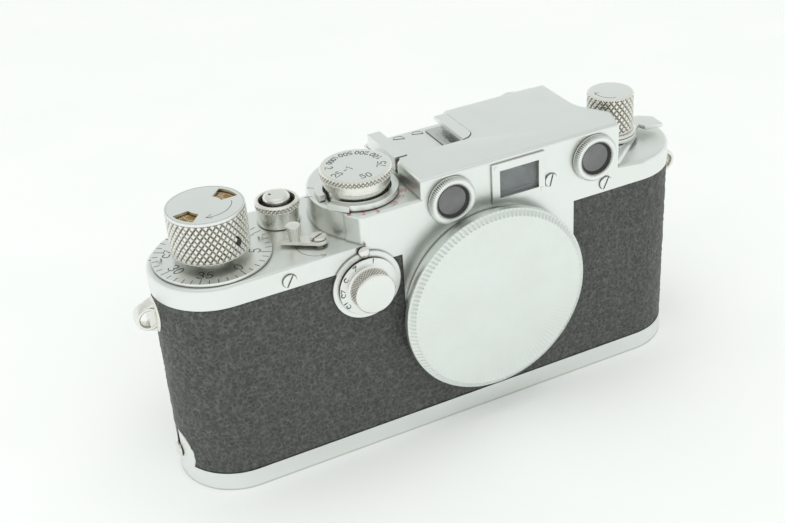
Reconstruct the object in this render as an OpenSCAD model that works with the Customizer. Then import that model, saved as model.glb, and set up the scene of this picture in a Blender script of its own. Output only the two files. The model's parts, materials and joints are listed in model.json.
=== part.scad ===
// Screw-mount rangefinder camera for 35 mm film, with its body cap fitted.
// +X is the photographer's left as seen from the front, the lens looks along -Y and +Z is up.
// The origin is on the underside of the base plate, at mid length and mid depth.

/* [Body] */
// Length of the body over its rounded ends
body_len = 136; // [134:0.5:138]
// Depth of the body, front to back
body_depth = 29; // [28.8:0.1:30]
// Height of the base plate's rim
base_rim_h = 4.9; // [4.5:0.1:5.2]
// Height of the lower edge of the top cover
skirt_z = 50.7; // [50:0.1:51]
// Height of the flat deck of the top cover
deck_z = 56; // [56:0.1:56.2]
// Height of the raised step that carries the speed dial
step_z = 63.2; // [63:0.1:63.3]
// Height of the rangefinder housing
housing_z = 68; // [68:0.1:68.2]

/* [Lens mount] */
// Distance of the lens axis from mid length
lens_x = 9.3; // [9:0.1:9.6]
// Height of the lens axis
lens_z = 33.2; // [33:0.1:33.4]
// Radius of the plain bore that stands for the M39 by 26 threads per inch lens thread
lens_thread_r = 19.5; // [19.4:0.05:19.6]
// Distance from the flange's front face to the film
flange_to_film = 28.8; // [28.7:0.05:28.9]
// Height of the picture on the film
gate_h = 24; // [23:0.5:24]
// Length of the picture on the film
gate_w = 36; // [35:0.5:36]

/* [Controls] */
// Distance of the wind shaft from mid length
wind_x = -53; // [-53.1:0.1:-52.9]
// Radius of the wind knob
wind_knob_r = 9; // [8.5:0.1:9.2]
// Radius of the frame counter dial
counter_r = 13.55; // [13:0.05:13.6]
// Radius of the speed dial
speed_dial_r = 8.4; // [8:0.1:8.5]
// Distance of the rewind shaft from mid length
rewind_x = 53.5; // [53.3:0.1:53.7]
// Radius of the rewind knob
rewind_knob_r = 5.8; // [5.7:0.1:6]
// Distance of the slow-speed dial from mid length
slow_x = -22.4; // [-22.6:0.1:-22.2]
// Height of the slow-speed dial
slow_z = 46.1; // [46:0.1:46.3]

/* [Clearances] */
// Radial gap of a running shaft
run_gap = 0.06; // [0.04:0.01:0.08]
// Gap between the body shell and the covers that slide over it
cover_gap = 0.08; // [0.06:0.01:0.1]

/* [Hidden] */
$fn = 96;
end_x = (body_len - body_depth) / 2;
body_r = body_depth / 2;
covering_r = body_r - 0.2;
shell_r = body_r - 0.8;
shell_t = 1;
shell_in_r = shell_r - shell_t;
shell_z0 = 1.4;
shell_z1 = deck_z - 2.4;
cover_in_r = shell_r + cover_gap;
deck_under_z = deck_z - 1.05;
front_y = -body_r;

// transport layout: gear module, tooth counts and shaft places
gear_m = 0.5;
wind_teeth = 33;
drum_teeth = 38;
sprocket_x = wind_x + wind_teeth * gear_m;
drum_y = -3;
drum_x = sprocket_x + sqrt(pow(drum_teeth * gear_m, 2) - pow(drum_y, 2));
drum_line = atan2(drum_y, drum_x - sprocket_x);
film_h = 35;
film_z0 = lens_z - film_h / 2;
film_z1 = lens_z + film_h / 2;
plate_z0 = film_z1 + 1.2;
plate_z1 = plate_z0 + 0.7;
gear_t = 0.9;
gear_a_z = plate_z1 + 0.1;
gear_b_z = gear_a_z + gear_t + 0.15;
pivot_r = 1.5;
floor_z0 = 8;
floor_z1 = 9.5;
shaft_foot_z = floor_z1 + 0.1;

// shutter crate and film plane
flange_r = 22.5;
flange_t = 3;
flange_y = front_y - flange_t;
flange_tube_r = lens_thread_r + 0.9;
film_y = flange_y + flange_to_film;
crate_x0 = -28.2;
crate_x1 = 41.1;
crate_wall = 1.3;
gate_y0 = film_y - 2.7;
gate_y1 = film_y - 0.1;
drum_r = 7.5;
drum_shaft_r = 2;
roller_r = 2.6;
roller_y = 1.9;
roller_xs = [31.6, 37];
curtain_y = drum_y + drum_r + 0.25;
curtain_t = 0.25;

flange_screw_r = 21.1;
flange_screw_angles = [0, 45, 135, 225, 315];

// top cover outlines
step_arc_x = -11.5;
step_arc_r = 16.5;
step_corner = [-22.2, front_y];
step_corner_back = [-25.2, -9.4];
housing_x0 = -7.3;
housing_x1 = 43.5;
housing_nose = [[46.1, front_y], [48.5, -7.9]];
housing_bay = [[44.2, -1.1], [housing_x1, 1.6]];
housing_rear_y = body_r + 0.7;
step_round = 1.6;
apron_x0 = -12.8;
apron_x1 = 33.5;
apron_z0 = 30;
right_step_z = deck_z + 1.2;
right_step_r = 6.9;
right_step_edge = [47.7, -12.9];
right_step_turn = 39.4;
right_step_slope = 50;

// windows and eyepieces
rf_left_x = 0.2;
rf_right_x = 38.9;
rf_z = 61.2;
rf_tube_r = 4.9;
rf_glass_r = 4;
bezel_r = 6.1;
vf_x0 = 12.9;
vf_x1 = 23.4;
vf_z0 = 57.8;
vf_z1 = 64.9;
vf_wall = 0.8;
vf_eye_x = 21.5;
rf_eye_x = 34;
eye_z = 62;
eye_vf_r = 3.4;
eye_rf_r = 3.2;
rivet_places = [[11.9, 65.9], [24.3, 57.2]];
arm_pivot = [0.2, -7];

// controls
shaft_r = 3;
counter_z = deck_z + 0.05;
counter_t = 0.8;
knob_z0 = 58.8;
knob_z1 = 68.3;
knob_floor_z = 67.1;
knob_plate_r = 8.9;
knob_window_r = [4, 7.8];
release_at = [-34.1, 6.6];
plunger_r = 3.2;
plunger_z0 = 59.6;
plunger_z1 = 62.5;
collar_r = 5.25;
lever_x = -30.4;
lever_y = -8.3;
lever_pin = [-35.2, -5.7];
sync_z0 = step_z + 0.1;
sync_z1 = step_z + 1.6;
sync_gap_a = 209;
dial_z0 = 66;
dial_z1 = 70.1;
sleeve_r = 3.4;
slow_lock = [slow_x - 0.2, slow_z + 8.7];
set_screw_turn = -61.5;
rewind_shaft_r = 2.2;
rewind_z1 = 69;
shoe_x = 3.6;
shoe_half = 10.7;
shoe_slot_half = 9.3;
shoe_lip_w = 3.3;
shoe_y0 = -1.4;
shoe_y1 = 14.5;
shoe_rail_y1 = 13.2;
shoe_gap = 0.25;
shoe_corner_r = 3.2;
recess_round = 2;
shoe_bed_z = housing_z - 3.4;
shoe_floor_z = housing_z - 2.8;
shoe_lip_z = housing_z - 0.8;
shoe_top_z = housing_z + 0.2;
shoe_screw_places = [[0.8, 12.5], [5.9, 12.5], [0.8, 1.3], [5.9, 1.3]];
lug_x = end_x + body_r + 1.9;
lug_z = 45.6;
lug_hole_r = 1.8;
lug_rise = 1.7;
stud_z = 7;
tab_r = 6.3;
tab_z = 7.3;
cap_y = flange_y - 2.7;
cap_r = 24.1;
cap_face_r = 22.6;
cap_rim_y = cap_y + 1.15;
key_x = end_x;
key_r = 9;
tripod_x = -45.5;
tripod_r = 3.175;

chrome = [0.86, 0.87, 0.86];
nickel = [0.80, 0.77, 0.68];
brass = [0.80, 0.66, 0.36];
steel = [0.62, 0.63, 0.64];
castalloy = [0.35, 0.35, 0.36];
vulcanite = [0.27, 0.28, 0.27];
blackcloth = [0.10, 0.10, 0.11];
glasscol = [0.55, 0.62, 0.66, 0.6];

// ---- shared shapes

// Outline with two round ends, radius r, centres end_x either side of the middle
module stadium(r) {
    union() {
        translate([-end_x, 0]) circle(r);
        translate([end_x, 0]) circle(r);
        square([2 * end_x, 2 * r], center = true);
    }
}

module stadium_z(r, z0, z1) {
    translate([0, 0, z0]) linear_extrude(z1 - z0) stadium(r);
}

module cyl_x(r, x0, x1, y, z) {
    translate([x0, y, z]) rotate([0, 90, 0]) cylinder(r = r, h = x1 - x0);
}

module cyl_y(r, y0, y1, x, z) {
    translate([x, y0, z]) rotate([-90, 0, 0]) cylinder(r = r, h = y1 - y0);
}

module cyl_z(r, z0, z1, x, y) {
    translate([x, y, z0]) cylinder(r = r, h = z1 - z0);
}

module box(x0, x1, y0, y1, z0, z1) {
    translate([x0, y0, z0]) cube([x1 - x0, y1 - y0, z1 - z0]);
}

module cylinder_span(r, z0, z1) {
    translate([0, 0, z0]) cylinder(r = r, h = z1 - z0);
}

module ring_z(r_out, r_in, z0, z1, x, y) {
    difference() {
        cyl_z(r_out, z0, z1, x, y);
        cyl_z(r_in, z0 - 1, z1 + 1, x, y);
    }
}

module ring_y(r_out, r_in, y0, y1, x, z) {
    difference() {
        cyl_y(r_out, y0, y1, x, z);
        cyl_y(r_in, y0 - 1, y1 + 1, x, z);
    }
}

// Slotted screw standing on a face that looks along -Y; turn is the slot's angle
module screw_front(x, z, y_face, head_r, head_h, turn) {
    translate([x, y_face, z]) rotate([90, turn, 0]) {
        difference() {
            cylinder(r = head_r, h = head_h);
            translate([-head_r - 1, -0.2, head_h - 0.35]) cube([2 * head_r + 2, 0.4, 1]);
        }
    }
}

// Straight-sided gear blank with its teeth; the first tooth points along +X
module gear(teeth, z0, bore_r) {
    pitch_r = teeth * gear_m / 2;
    root_r = pitch_r - 0.62;
    tip_r = pitch_r + 0.42;
    translate([0, 0, z0]) linear_extrude(gear_t) difference() {
        union() {
            circle(root_r);
            for (i = [0 : teeth - 1]) rotate(i * 360 / teeth)
                polygon([[root_r - 0.2, -0.5], [root_r, -0.45], [tip_r, -0.13],
                    [tip_r, 0.13], [root_r, 0.45], [root_r - 0.2, 0.5]]);
        }
        circle(bore_r);
    }
}

// ---- fixed structure

module lens_hole(r) {
    cyl_y(r, front_y - 1, -6, lens_x, lens_z);
}

module chassis() {
    color(castalloy) difference() {
        union() {
            intersection() {
                stadium_z(shell_in_r - 0.1, floor_z0, floor_z1);
                box(-64, crate_x1, -body_r, body_r, floor_z0, floor_z1);
            }
            box(crate_x0, crate_x0 + crate_wall, -12.5, gate_y1, floor_z0, plate_z0 - 0.05);
            box(crate_x1 - crate_wall, crate_x1, -12.5, gate_y1, floor_z0, shell_z1);
            box(crate_x0, crate_x1, gate_y0, gate_y1, floor_z0, plate_z0 - 0.05);
            box(crate_x0, -11, -12.5, -11, floor_z0, plate_z0 - 0.05);
            box(-11, crate_x1, -12.5, -11, floor_z0, shell_z1);
            box(28.6, crate_x1, -12.5, gate_y1, plate_z0, shell_z1);
            intersection() {
                stadium_z(shell_in_r - 0.1, plate_z0, shell_z1);
                box(crate_x1 - 1, 66, -body_r, body_r, plate_z0, shell_z1);
            }
        }
        lens_hole(flange_tube_r + 0.05);
        box(lens_x - gate_w / 2, lens_x + gate_w / 2, gate_y0 - 1, gate_y1 + 1,
            lens_z - gate_h / 2, lens_z + gate_h / 2);
        for (x = [wind_x, sprocket_x]) cyl_z(pivot_r + run_gap, floor_z0 - 1, floor_z1 + 1, x, 0);
        cyl_z(pivot_r + run_gap, floor_z0 - 1, floor_z1 + 1, drum_x, drum_y);
        for (x = roller_xs) cyl_z(1 + run_gap, floor_z0 - 1, shell_z1 + 1, x, roller_y);
        cyl_z(rewind_shaft_r + run_gap, plate_z0 - 1, shell_z1 + 1, rewind_x, 0);
        cyl_y(1.8, -13, -10, slow_x, slow_z);
    }
}

module gear_plate() {
    color(brass) difference() {
        intersection() {
            stadium_z(shell_in_r - 0.1, plate_z0, plate_z1);
            box(-66, -11.5, -body_r, body_r, plate_z0, plate_z1);
        }
        cyl_z(shaft_r + run_gap, plate_z0 - 1, plate_z1 + 1, wind_x, 0);
        cyl_z(2.6 + run_gap, plate_z0 - 1, plate_z1 + 1, sprocket_x, 0);
        cyl_z(drum_shaft_r + run_gap, plate_z0 - 1, plate_z1 + 1, drum_x, drum_y);
    }
}

module lug_holes(r) {
    for (s = [-1, 1]) cyl_x(r, s > 0 ? end_x : -body_r - end_x - 1,
        s > 0 ? end_x + body_r + 1 : -end_x, 0, lug_z);
}

// Foot of the right strap lug, a plate with two round ends of radius r
module lug_plate(r) {
    x0 = end_x + 8;
    x1 = end_x + body_r + 0.5;
    union() {
        for (s = [-1, 1]) cyl_x(r, x0, x1, 0, lug_z + s * lug_rise);
        box(x0, x1, -r, r, lug_z - lug_rise, lug_z + lug_rise);
    }
}

module body_shell() {
    color(steel) difference() {
        stadium_z(shell_r, shell_z0, shell_z1);
        stadium_z(shell_in_r, shell_z0 - 1, shell_z1 + 1);
        lens_hole(flange_tube_r + 0.05);
        cyl_y(1.8, front_y, -12, slow_x, slow_z);
        lug_holes(1.5);
        cyl_x(0.9, -end_x - body_r - 1, -end_x - 10, 0, stud_z);
    }
}

// Outline of the hook tab at the left end, seen along X, grown by g
module tab_solid(g) {
    cyl_x(tab_r + g, -end_x - body_r - 1, -end_x - 8, 0, tab_z);
}

module body_covering() {
    color(vulcanite) difference() {
        stadium_z(covering_r, base_rim_h + 0.05, skirt_z - 0.05);
        stadium_z(shell_r, base_rim_h - 1, skirt_z + 1);
        box(apron_x0 - 0.05, apron_x1 + 0.05, front_y - 1, -10, apron_z0 - 0.05, skirt_z + 1);
        lens_hole(flange_tube_r + 0.05);
        cyl_y(1.8, front_y - 1, -12, slow_x, slow_z);
        tab_solid(0.1);
        for (s = [-1, 1]) scale([s, 1, 1]) lug_plate(3);
    }
}

module step_outline() {
    intersection() {
        union() {
            translate([step_arc_x, 0.2]) circle(step_arc_r);
            offset(r = step_round) offset(delta = -step_round)
                polygon([step_corner, [4, front_y], [4, 0], [step_arc_x, 0.2], step_corner_back]);
        }
        translate([-40, front_y]) square([42, body_depth]);
    }
}

module housing_outline() {
    polygon([[housing_x0, front_y], housing_nose[0], housing_nose[1], housing_bay[0],
        housing_bay[1], [housing_x1, housing_rear_y], [housing_x0, housing_rear_y]]);
}

// Outline of the accessory shoe with its round front corner, grown by g
module shoe_outline(g, y1) {
    r = shoe_corner_r + g;
    x0 = shoe_x - shoe_half - g;
    x1 = shoe_x + shoe_half + g;
    y0 = shoe_y0 - g;
    union() {
        polygon([[x0, y0], [x1 - r, y0], [x1, y0 + r], [x1, y1], [x0, y1]]);
        translate([x1 - r, y0 + r]) circle(r);
    }
}

// Recess for the accessory shoe, open to the left and to the rear
module shoe_recess() {
    y0 = shoe_y0 - shoe_gap;
    union() {
        shoe_outline(shoe_gap, housing_rear_y + 1);
        difference() {
            translate([housing_x0 - 1, y0 - recess_round])
                square([recess_round + 1, recess_round + 0.5]);
            translate([housing_x0 + recess_round, y0 - recess_round]) circle(recess_round);
        }
    }
}

module right_step_outline() {
    union() {
        polygon([[40, -12.9], right_step_edge, [60, -2.8], [rewind_x, 6], [40, 6]]);
        translate([rewind_x, 0]) circle(right_step_r);
    }
}

module top_cover() {
    color(chrome) difference() {
        union() {
            stadium_z(body_r, skirt_z, deck_z);
            box(apron_x0, apron_x1, front_y, -12, apron_z0, skirt_z + 1);
            translate([0, 0, deck_z - 0.5]) linear_extrude(step_z - deck_z + 0.5) step_outline();
            translate([0, 0, deck_z - 0.5]) linear_extrude(housing_z - deck_z + 0.5)
                housing_outline();
            difference() {
                translate([0, 0, deck_z - 0.5]) linear_extrude(right_step_z - deck_z + 0.5)
                    right_step_outline();
                translate([right_step_edge[0], right_step_edge[1], deck_z])
                    rotate([-right_step_slope, 0, right_step_turn])
                        translate([-20, -10, 0]) cube([60, 10, 10]);
            }
        }
        stadium_z(cover_in_r, apron_z0 - 1, deck_under_z);
        box(housing_x0 + 1, 41.8, front_y + 1, housing_rear_y - 1, deck_under_z - 1, shoe_bed_z - 1);
        box(housing_x0 + 1, 41.8, front_y + 1, shoe_y0 - shoe_gap - 1, deck_under_z, housing_z - 1);
        box(shoe_x + shoe_half + 1.2, 41.8, front_y + 1, housing_rear_y - 1, deck_under_z,
            housing_z - 1);
        box(41, 45.2, front_y + 1, -6.5, deck_under_z - 1, housing_z - 1);
        translate([0, 0, shoe_bed_z]) linear_extrude(housing_z) shoe_recess();
        cyl_z(step_arc_r - 2.5, deck_under_z - 1, step_z - 1, step_arc_x, 0.2);
        lens_hole(flange_tube_r + 0.05);
        cyl_z(shaft_r + run_gap, deck_z - 3, deck_z + 1, wind_x, 0);
        cyl_z(1, deck_z - 3, deck_z + 1, lever_x, lever_y);
        cyl_z(drum_shaft_r + run_gap, step_z - 3, step_z + 1, drum_x, drum_y);
        cyl_z(rewind_shaft_r + run_gap, deck_z - 3, right_step_z + 1, rewind_x, 0);
        for (x = [rf_left_x, rf_right_x]) cyl_y(rf_tube_r, front_y - 1, -12, x, rf_z);
        box(vf_x0 - vf_wall, vf_x1 + vf_wall, front_y - 1, -12, vf_z0 - vf_wall, vf_z1 + vf_wall);
        for (x = [vf_eye_x, rf_eye_x]) cyl_y(4.2, 12, housing_rear_y + 1, x, eye_z);
        cyl_y(2.4, 8, body_r + 1, -14, 59.6);
    }
}

module lens_flange() {
    color(chrome) difference() {
        union() {
            cyl_y(flange_r, flange_y, front_y, lens_x, lens_z);
            cyl_y(flange_tube_r, front_y - 1, -11.2, lens_x, lens_z);
        }
        cyl_y(lens_thread_r, flange_y - 1, -10, lens_x, lens_z);
        for (a = flange_screw_angles) translate([lens_x, 0, lens_z]) rotate([0, a, 0])
            cyl_y(1.2, flange_y - 1, flange_y + 1, flange_screw_r, 0);
    }
}

// Slotted screws: five in the lens flange, three in front, three behind, four in the shoe,
// and the two rivets of the viewfinder frame
module small_screws() {
    color(chrome) {
        for (a = flange_screw_angles) translate([lens_x, 0, lens_z]) rotate([0, a, 0])
            screw_front(flange_screw_r, 0, flange_y + 1, 1.15, 0.95, a);
        screw_front(26.9, 58.5, front_y, 1.6, 0.5, -75);
        screw_front(42.4, 53.2, front_y, 1.6, 0.5, -65);
        screw_front(-40.6, 52.9, front_y, 1.6, 0.5, -60);
        for (x = [-40.6, -4, 46]) rotate(180) screw_front(-x, 53, -body_r, 1.6, 0.5, 30);
        for (p = rivet_places) cyl_y(0.45, front_y - 0.7, front_y - 0.2, p[0], p[1]);
        for (p = shoe_screw_places) translate([p[0], p[1], shoe_bed_z]) rotate([-90, 0, 0])
            screw_front(0, 0, 0, 1.4, 0.5, 20);
    }
}

module rf_bezel(x) {
    difference() {
        union() {
            cyl_y(bezel_r, front_y - 0.6, front_y, x, rf_z);
            translate([x, front_y - 0.6, rf_z]) rotate([90, 0, 0])
                cylinder(r1 = bezel_r, r2 = bezel_r - 1, h = 1.2);
            cyl_y(rf_tube_r, front_y, front_y + 1.8, x, rf_z);
        }
        cyl_y(rf_glass_r, front_y - 3, front_y + 3, x, rf_z);
    }
}

module rf_bezel_left() {
    color(chrome) rf_bezel(rf_left_x);
}

module rf_bezel_right() {
    color(chrome) rf_bezel(rf_right_x);
}

module rf_windows() {
    color(glasscol) for (x = [rf_left_x, rf_right_x])
        cyl_y(rf_glass_r, front_y - 0.8, front_y + 0.4, x, rf_z);
}

module viewfinder_frame() {
    color(chrome) difference() {
        union() {
            box(10.9, 25.1, front_y - 0.65, front_y, 56.6, 66.8);
            box(vf_x0 - vf_wall, vf_x1 + vf_wall, front_y - 0.1, -12.2,
                vf_z0 - vf_wall, vf_z1 + vf_wall);
        }
        box(vf_x0, vf_x1, front_y - 2, -11, vf_z0, vf_z1);
        for (p = rivet_places) cyl_y(0.45, front_y - 2, front_y - 0.2, p[0], p[1]);
    }
}

module finder_lenses() {
    color(glasscol) {
        box(vf_x0, vf_x1, front_y + 0.2, front_y + 1.5, vf_z0, vf_z1);
        cyl_y(eye_vf_r, 13.4, 15.4, vf_eye_x, eye_z);
        cyl_y(eye_rf_r, 13.4, 15.4, rf_eye_x, eye_z);
    }
}

module optics_bracket() {
    color(castalloy) difference() {
        union() {
            box(-5.8, 41.4, -10.8, 12.8, deck_under_z + 0.3, deck_under_z + 1.5);
            box(33, 41.4, -10.8, -2, deck_under_z + 0.3, 57);
        }
        box(5, 13, -11.8, -3.5, deck_under_z - 1, deck_under_z + 3);
        cyl_z(1.2 + run_gap, deck_under_z - 1, deck_under_z + 3, arm_pivot[0], arm_pivot[1]);
    }
}

module rf_prism() {
    color(glasscol) translate([0, 0, 57]) linear_extrude(8)
        polygon([[34, -10.5], [41.2, -10.5], [41.2, -3.2], [36, -3.2], [34, -5.2]]);
}

module eyepiece_plate() {
    color(chrome) difference() {
        union() {
            box(15.5, 40.5, housing_rear_y, housing_rear_y + 0.8, 56.6, 67.4);
            cyl_y(5.6, housing_rear_y, housing_rear_y + 1.3, rf_eye_x, eye_z);
            cyl_y(5.2, housing_rear_y, housing_rear_y + 1.3, vf_eye_x, eye_z);
            for (x = [vf_eye_x, rf_eye_x]) cyl_y(4.2, 13, housing_rear_y + 0.2, x, eye_z);
        }
        cyl_y(eye_rf_r, 10, 20, rf_eye_x, eye_z);
        cyl_y(eye_vf_r, 10, 20, vf_eye_x, eye_z);
    }
}

module accessory_shoe() {
    color(chrome) difference() {
        intersection() {
            translate([0, 0, shoe_bed_z]) linear_extrude(shoe_top_z - shoe_bed_z)
                shoe_outline(0, shoe_y1);
            union() {
                box(-20, 20, shoe_y0 - 1, shoe_y1, shoe_bed_z, shoe_floor_z);
                for (s = [-1, 1]) translate([shoe_x, 0, 0]) scale([s, 1, 1]) {
                    box(shoe_slot_half, shoe_half + 1, shoe_y0 - 1, shoe_rail_y1, shoe_bed_z,
                        shoe_top_z);
                    box(shoe_half - shoe_lip_w, shoe_half + 1, shoe_y0 - 1, shoe_rail_y1,
                        shoe_lip_z, shoe_top_z);
                }
            }
        }
        for (p = shoe_screw_places) cyl_z(1.45, shoe_bed_z - 1, shoe_floor_z + 1, p[0], p[1]);
    }
}

module shoe_spring() {
    color(steel) union() {
        box(8.1, 12.7, -0.6, 12.6, shoe_floor_z + 0.05, shoe_floor_z + 0.35);
        box(9.6, 12.7, 2, 10, shoe_floor_z + 0.3, shoe_floor_z + 0.5);
    }
}

module release_collar() {
    color(nickel) translate([release_at[0], release_at[1], 0]) difference() {
        union() {
            cylinder_span(collar_r - 0.35, deck_z, 60.4);
            cylinder_span(collar_r, 60.3, 61.5);
            translate([0, 0, 61.5]) cylinder(r1 = collar_r, r2 = collar_r - 0.45, h = 0.45);
        }
        cylinder_span(4.3, 59.8, 64);
        cylinder_span(plunger_r + run_gap, deck_z + 0.3, 61);
    }
}

module strap_lugs() {
    color(nickel) for (s = [-1, 1]) scale([s, 1, 1]) difference() {
        union() {
            lug_plate(2.9);
            box(lug_x - 2.6, lug_x, -1.7, 1.7, lug_z - 3.1, lug_z + 3.1);
            cyl_y(3.1, -1.7, 1.7, lug_x, lug_z);
        }
        translate([end_x, 0, 0]) cylinder(r = shell_r, h = deck_z);
        cyl_y(lug_hole_r, -3, 3, lug_x, lug_z);
    }
}

module slow_dial_flange() {
    color(chrome) difference() {
        cyl_y(8.5, front_y - 0.8, front_y, slow_x, slow_z);
        cyl_y(1.5 + run_gap, front_y - 2, front_y + 2, slow_x, slow_z);
        cyl_y(1.3 + run_gap, front_y - 2, front_y + 2, slow_lock[0], slow_lock[1]);
    }
}

// Slow-speed gear train, held between two plates on pillars in the bottom of the crate
module slow_escapement() {
    color(brass) union() {
        box(12, 28, -9.5, 3, floor_z1 + 0.1, floor_z1 + 0.8);
        box(12, 28, -9.5, 3, 13.6, 14.3);
        for (x = [13.5, 26.5], y = [-8, 1.5]) cyl_z(0.9, floor_z1 + 0.5, 14, x, y);
        cyl_z(3.6, 11, 12, 17, -3);
        cyl_z(0.6, floor_z1 + 0.5, 14, 17, -3);
        cyl_z(2.6, 12.2, 13, 23, -4);
        cyl_z(0.6, floor_z1 + 0.5, 14, 23, -4);
    }
}

module flash_socket() {
    color(chrome) difference() {
        union() {
            cyl_y(3.5, body_r, body_r + 1.3, -14, 59.6);
            cyl_y(2.4, 9.5, body_r + 0.5, -14, 59.6);
        }
        cyl_y(1.6, 11, 20, -14, 59.6);
    }
}

module pressure_plate() {
    color(castalloy) union() {
        box(lens_x - 21, lens_x + 21, film_y + 0.15, film_y + 0.75, lens_z - 17.4, lens_z + 17.3);
    }
}

module pressure_springs() {
    color(steel) for (z = [lens_z - 9, lens_z + 9])
        box(lens_x - 15, lens_x + 15, film_y + 0.8, shell_in_r - 0.03, z - 2, z + 2);
}

module hook_stud() {
    color(steel) union() {
        cyl_x(0.9, -end_x - body_r - 0.2, -end_x - shell_in_r + 0.4, 0, stud_z);
        cyl_x(2, -end_x - body_r - 0.65, -end_x - body_r - 0.1, 0, stud_z);
    }
}

module shutter_curtains() {
    color(blackcloth) {
        box(-22, 34.6, curtain_y, curtain_y + curtain_t, lens_z - 16, lens_z + 16);
        box(-20, 38.6, curtain_y + 0.45, curtain_y + 0.45 + curtain_t, lens_z - 16, lens_z + 16);
    }
}

module curtain_laths() {
    color(steel) {
        box(28.5, 30, curtain_y - 0.25, curtain_y, lens_z - 14, lens_z + 14);
        box(-13.5, -12, curtain_y + 0.45 + curtain_t, curtain_y + 0.7 + curtain_t,
            lens_z - 14, lens_z + 14);
    }
}

// ---- release and transport

module lever_screw() {
    color(nickel) union() {
        cyl_z(1, deck_z - 0.9, 57.8, lever_x, lever_y);
        difference() {
            cyl_z(1.8, 57.6, 58.2, lever_x, lever_y);
            translate([lever_x, lever_y, 57.9]) rotate(25) cube([5, 0.4, 2], center = true);
        }
    }
}

module release_button() {
    color(steel) union() {
        cyl_z(plunger_r, plunger_z0, plunger_z1, release_at[0], release_at[1]);
        translate([release_at[0], release_at[1], plunger_z1])
            cylinder(r1 = plunger_r, r2 = plunger_r - 0.7, h = 0.6);
    }
}

// Coil of flat wire under the plunger: a 150 degree sector of a ring, twisted upwards
module release_spring() {
    coil_r = [1.95, 2.75];
    sector = [0 : 30 : 150];
    color(steel) translate([release_at[0], release_at[1], deck_z + 0.35])
        linear_extrude(height = 3.2, twist = -720, slices = 24, $fn = 12)
            polygon([for (a = sector) coil_r[1] * [cos(a), sin(a)],
                for (a = sector) coil_r[0] * [cos(150 - a), sin(150 - a)]]);
}

module wind_shaft() {
    color(steel) union() {
        cyl_z(pivot_r, floor_z0, shaft_foot_z + 1, wind_x, 0);
        cyl_z(shaft_r, shaft_foot_z, knob_floor_z, wind_x, 0);
        cyl_z(1.5, knob_floor_z - 0.5, knob_z1, wind_x, 0);
    }
}

module wind_gear() {
    color(brass) translate([wind_x, 0, 0]) gear(wind_teeth, gear_a_z, shaft_r);
}

module takeup_spool() {
    color(castalloy) difference() {
        union() {
            cyl_z(5.4, 14, film_z1 - 0.1, wind_x, 0);
            cyl_z(10.6, 14.6, 15.8, wind_x, 0);
            cyl_z(6.4, 12, 14.2, wind_x, 0);
        }
        cyl_z(shaft_r, 11, film_z1 + 1, wind_x, 0);
        box(wind_x - 0.5, wind_x + 0.5, 3.4, 7, 18, film_z1 - 1.5);
    }
}

module wind_knob() {
    color(nickel) difference() {
        union() {
            cyl_z(wind_knob_r, knob_z0, knob_z1, wind_x, 0);
            cyl_z(4.4, counter_z + counter_t + 0.1, knob_z0 + 1, wind_x, 0);
        }
        cyl_z(shaft_r, deck_z, knob_floor_z, wind_x, 0);
        cyl_z(8.4, knob_floor_z, knob_z1 + 1, wind_x, 0);
        translate([wind_x, 0, 62.2]) rotate([0, 90, set_screw_turn]) cylinder(r = 1, h = 12);
    }
}

// The two windows are 44 degree sectors of a ring, opposite each other
module knob_top_plate() {
    sector = [2 : 5.5 : 46];
    color(chrome) difference() {
        cyl_z(knob_plate_r, knob_z1, knob_z1 + 0.7, wind_x, 0);
        for (a = [0, 186]) translate([wind_x, 0, knob_z1 - 1]) rotate(a) linear_extrude(3)
            polygon([for (t = sector) knob_window_r[1] * [cos(t), sin(t)],
                for (t = sector) knob_window_r[0] * [cos(48 - t), sin(48 - t)]]);
    }
}

module knob_set_screw() {
    color(blackcloth) translate([wind_x, 0, 62.2]) rotate([0, 90, set_screw_turn])
        translate([0, 0, shaft_r]) cylinder(r = 1, h = 4.9);
}

module reminder_disc() {
    color([0.55, 0.42, 0.22]) ring_z(8.1, 1.56, knob_floor_z + 0.05, knob_floor_z + 0.9, wind_x, 0);
}

module counter_dial() {
    color(chrome) union() {
        ring_z(counter_r, shaft_r + run_gap, counter_z, counter_z + counter_t, wind_x, 0);
        for (a = [166, 0]) translate([wind_x, 0, 0]) rotate(a)
            cyl_z(0.55, counter_z + 0.4, counter_z + 1.5, 11.7, 0);
    }
}

module film_sprocket() {
    color(steel) union() {
        cyl_z(pivot_r, floor_z0, shaft_foot_z + 1, sprocket_x, 0);
        cyl_z(2.6, shaft_foot_z, gear_b_z + gear_t, sprocket_x, 0);
        cyl_z(4.2, film_z0 + 1, film_z1 - 1, sprocket_x, 0);
        for (z = [lens_z - 14.1, lens_z + 14.1]) {
            cyl_z(6.05, z - 2, z + 2, sprocket_x, 0);
            for (i = [0 : 7]) translate([sprocket_x, 0, z]) rotate(i * 45 + 22.5)
                box(5.5, 7.2, -0.7, 0.7, -0.9, 0.9);
        }
    }
}

module sprocket_gears() {
    color(brass) translate([sprocket_x, 0, 0]) {
        gear(wind_teeth, gear_a_z, 2.6);
        rotate(drum_line) gear(drum_teeth, gear_b_z, 2.6);
    }
}

module shutter_drum() {
    color(castalloy) union() {
        cyl_z(pivot_r, floor_z0, shaft_foot_z + 1, drum_x, drum_y);
        cyl_z(drum_shaft_r, shaft_foot_z, 67.4, drum_x, drum_y);
        cyl_z(drum_r, lens_z - 13.5, lens_z + 13.5, drum_x, drum_y);
        for (s = [-1, 1]) cyl_z(drum_r - 0.8, lens_z + s * 15 - 1.6, lens_z + s * 15 + 1.6,
            drum_x, drum_y);
    }
}

module drum_gear() {
    color(brass) translate([drum_x, drum_y, 0]) rotate(drum_line + 180 + 180 / drum_teeth)
        gear(drum_teeth, gear_b_z, drum_shaft_r);
}

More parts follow.
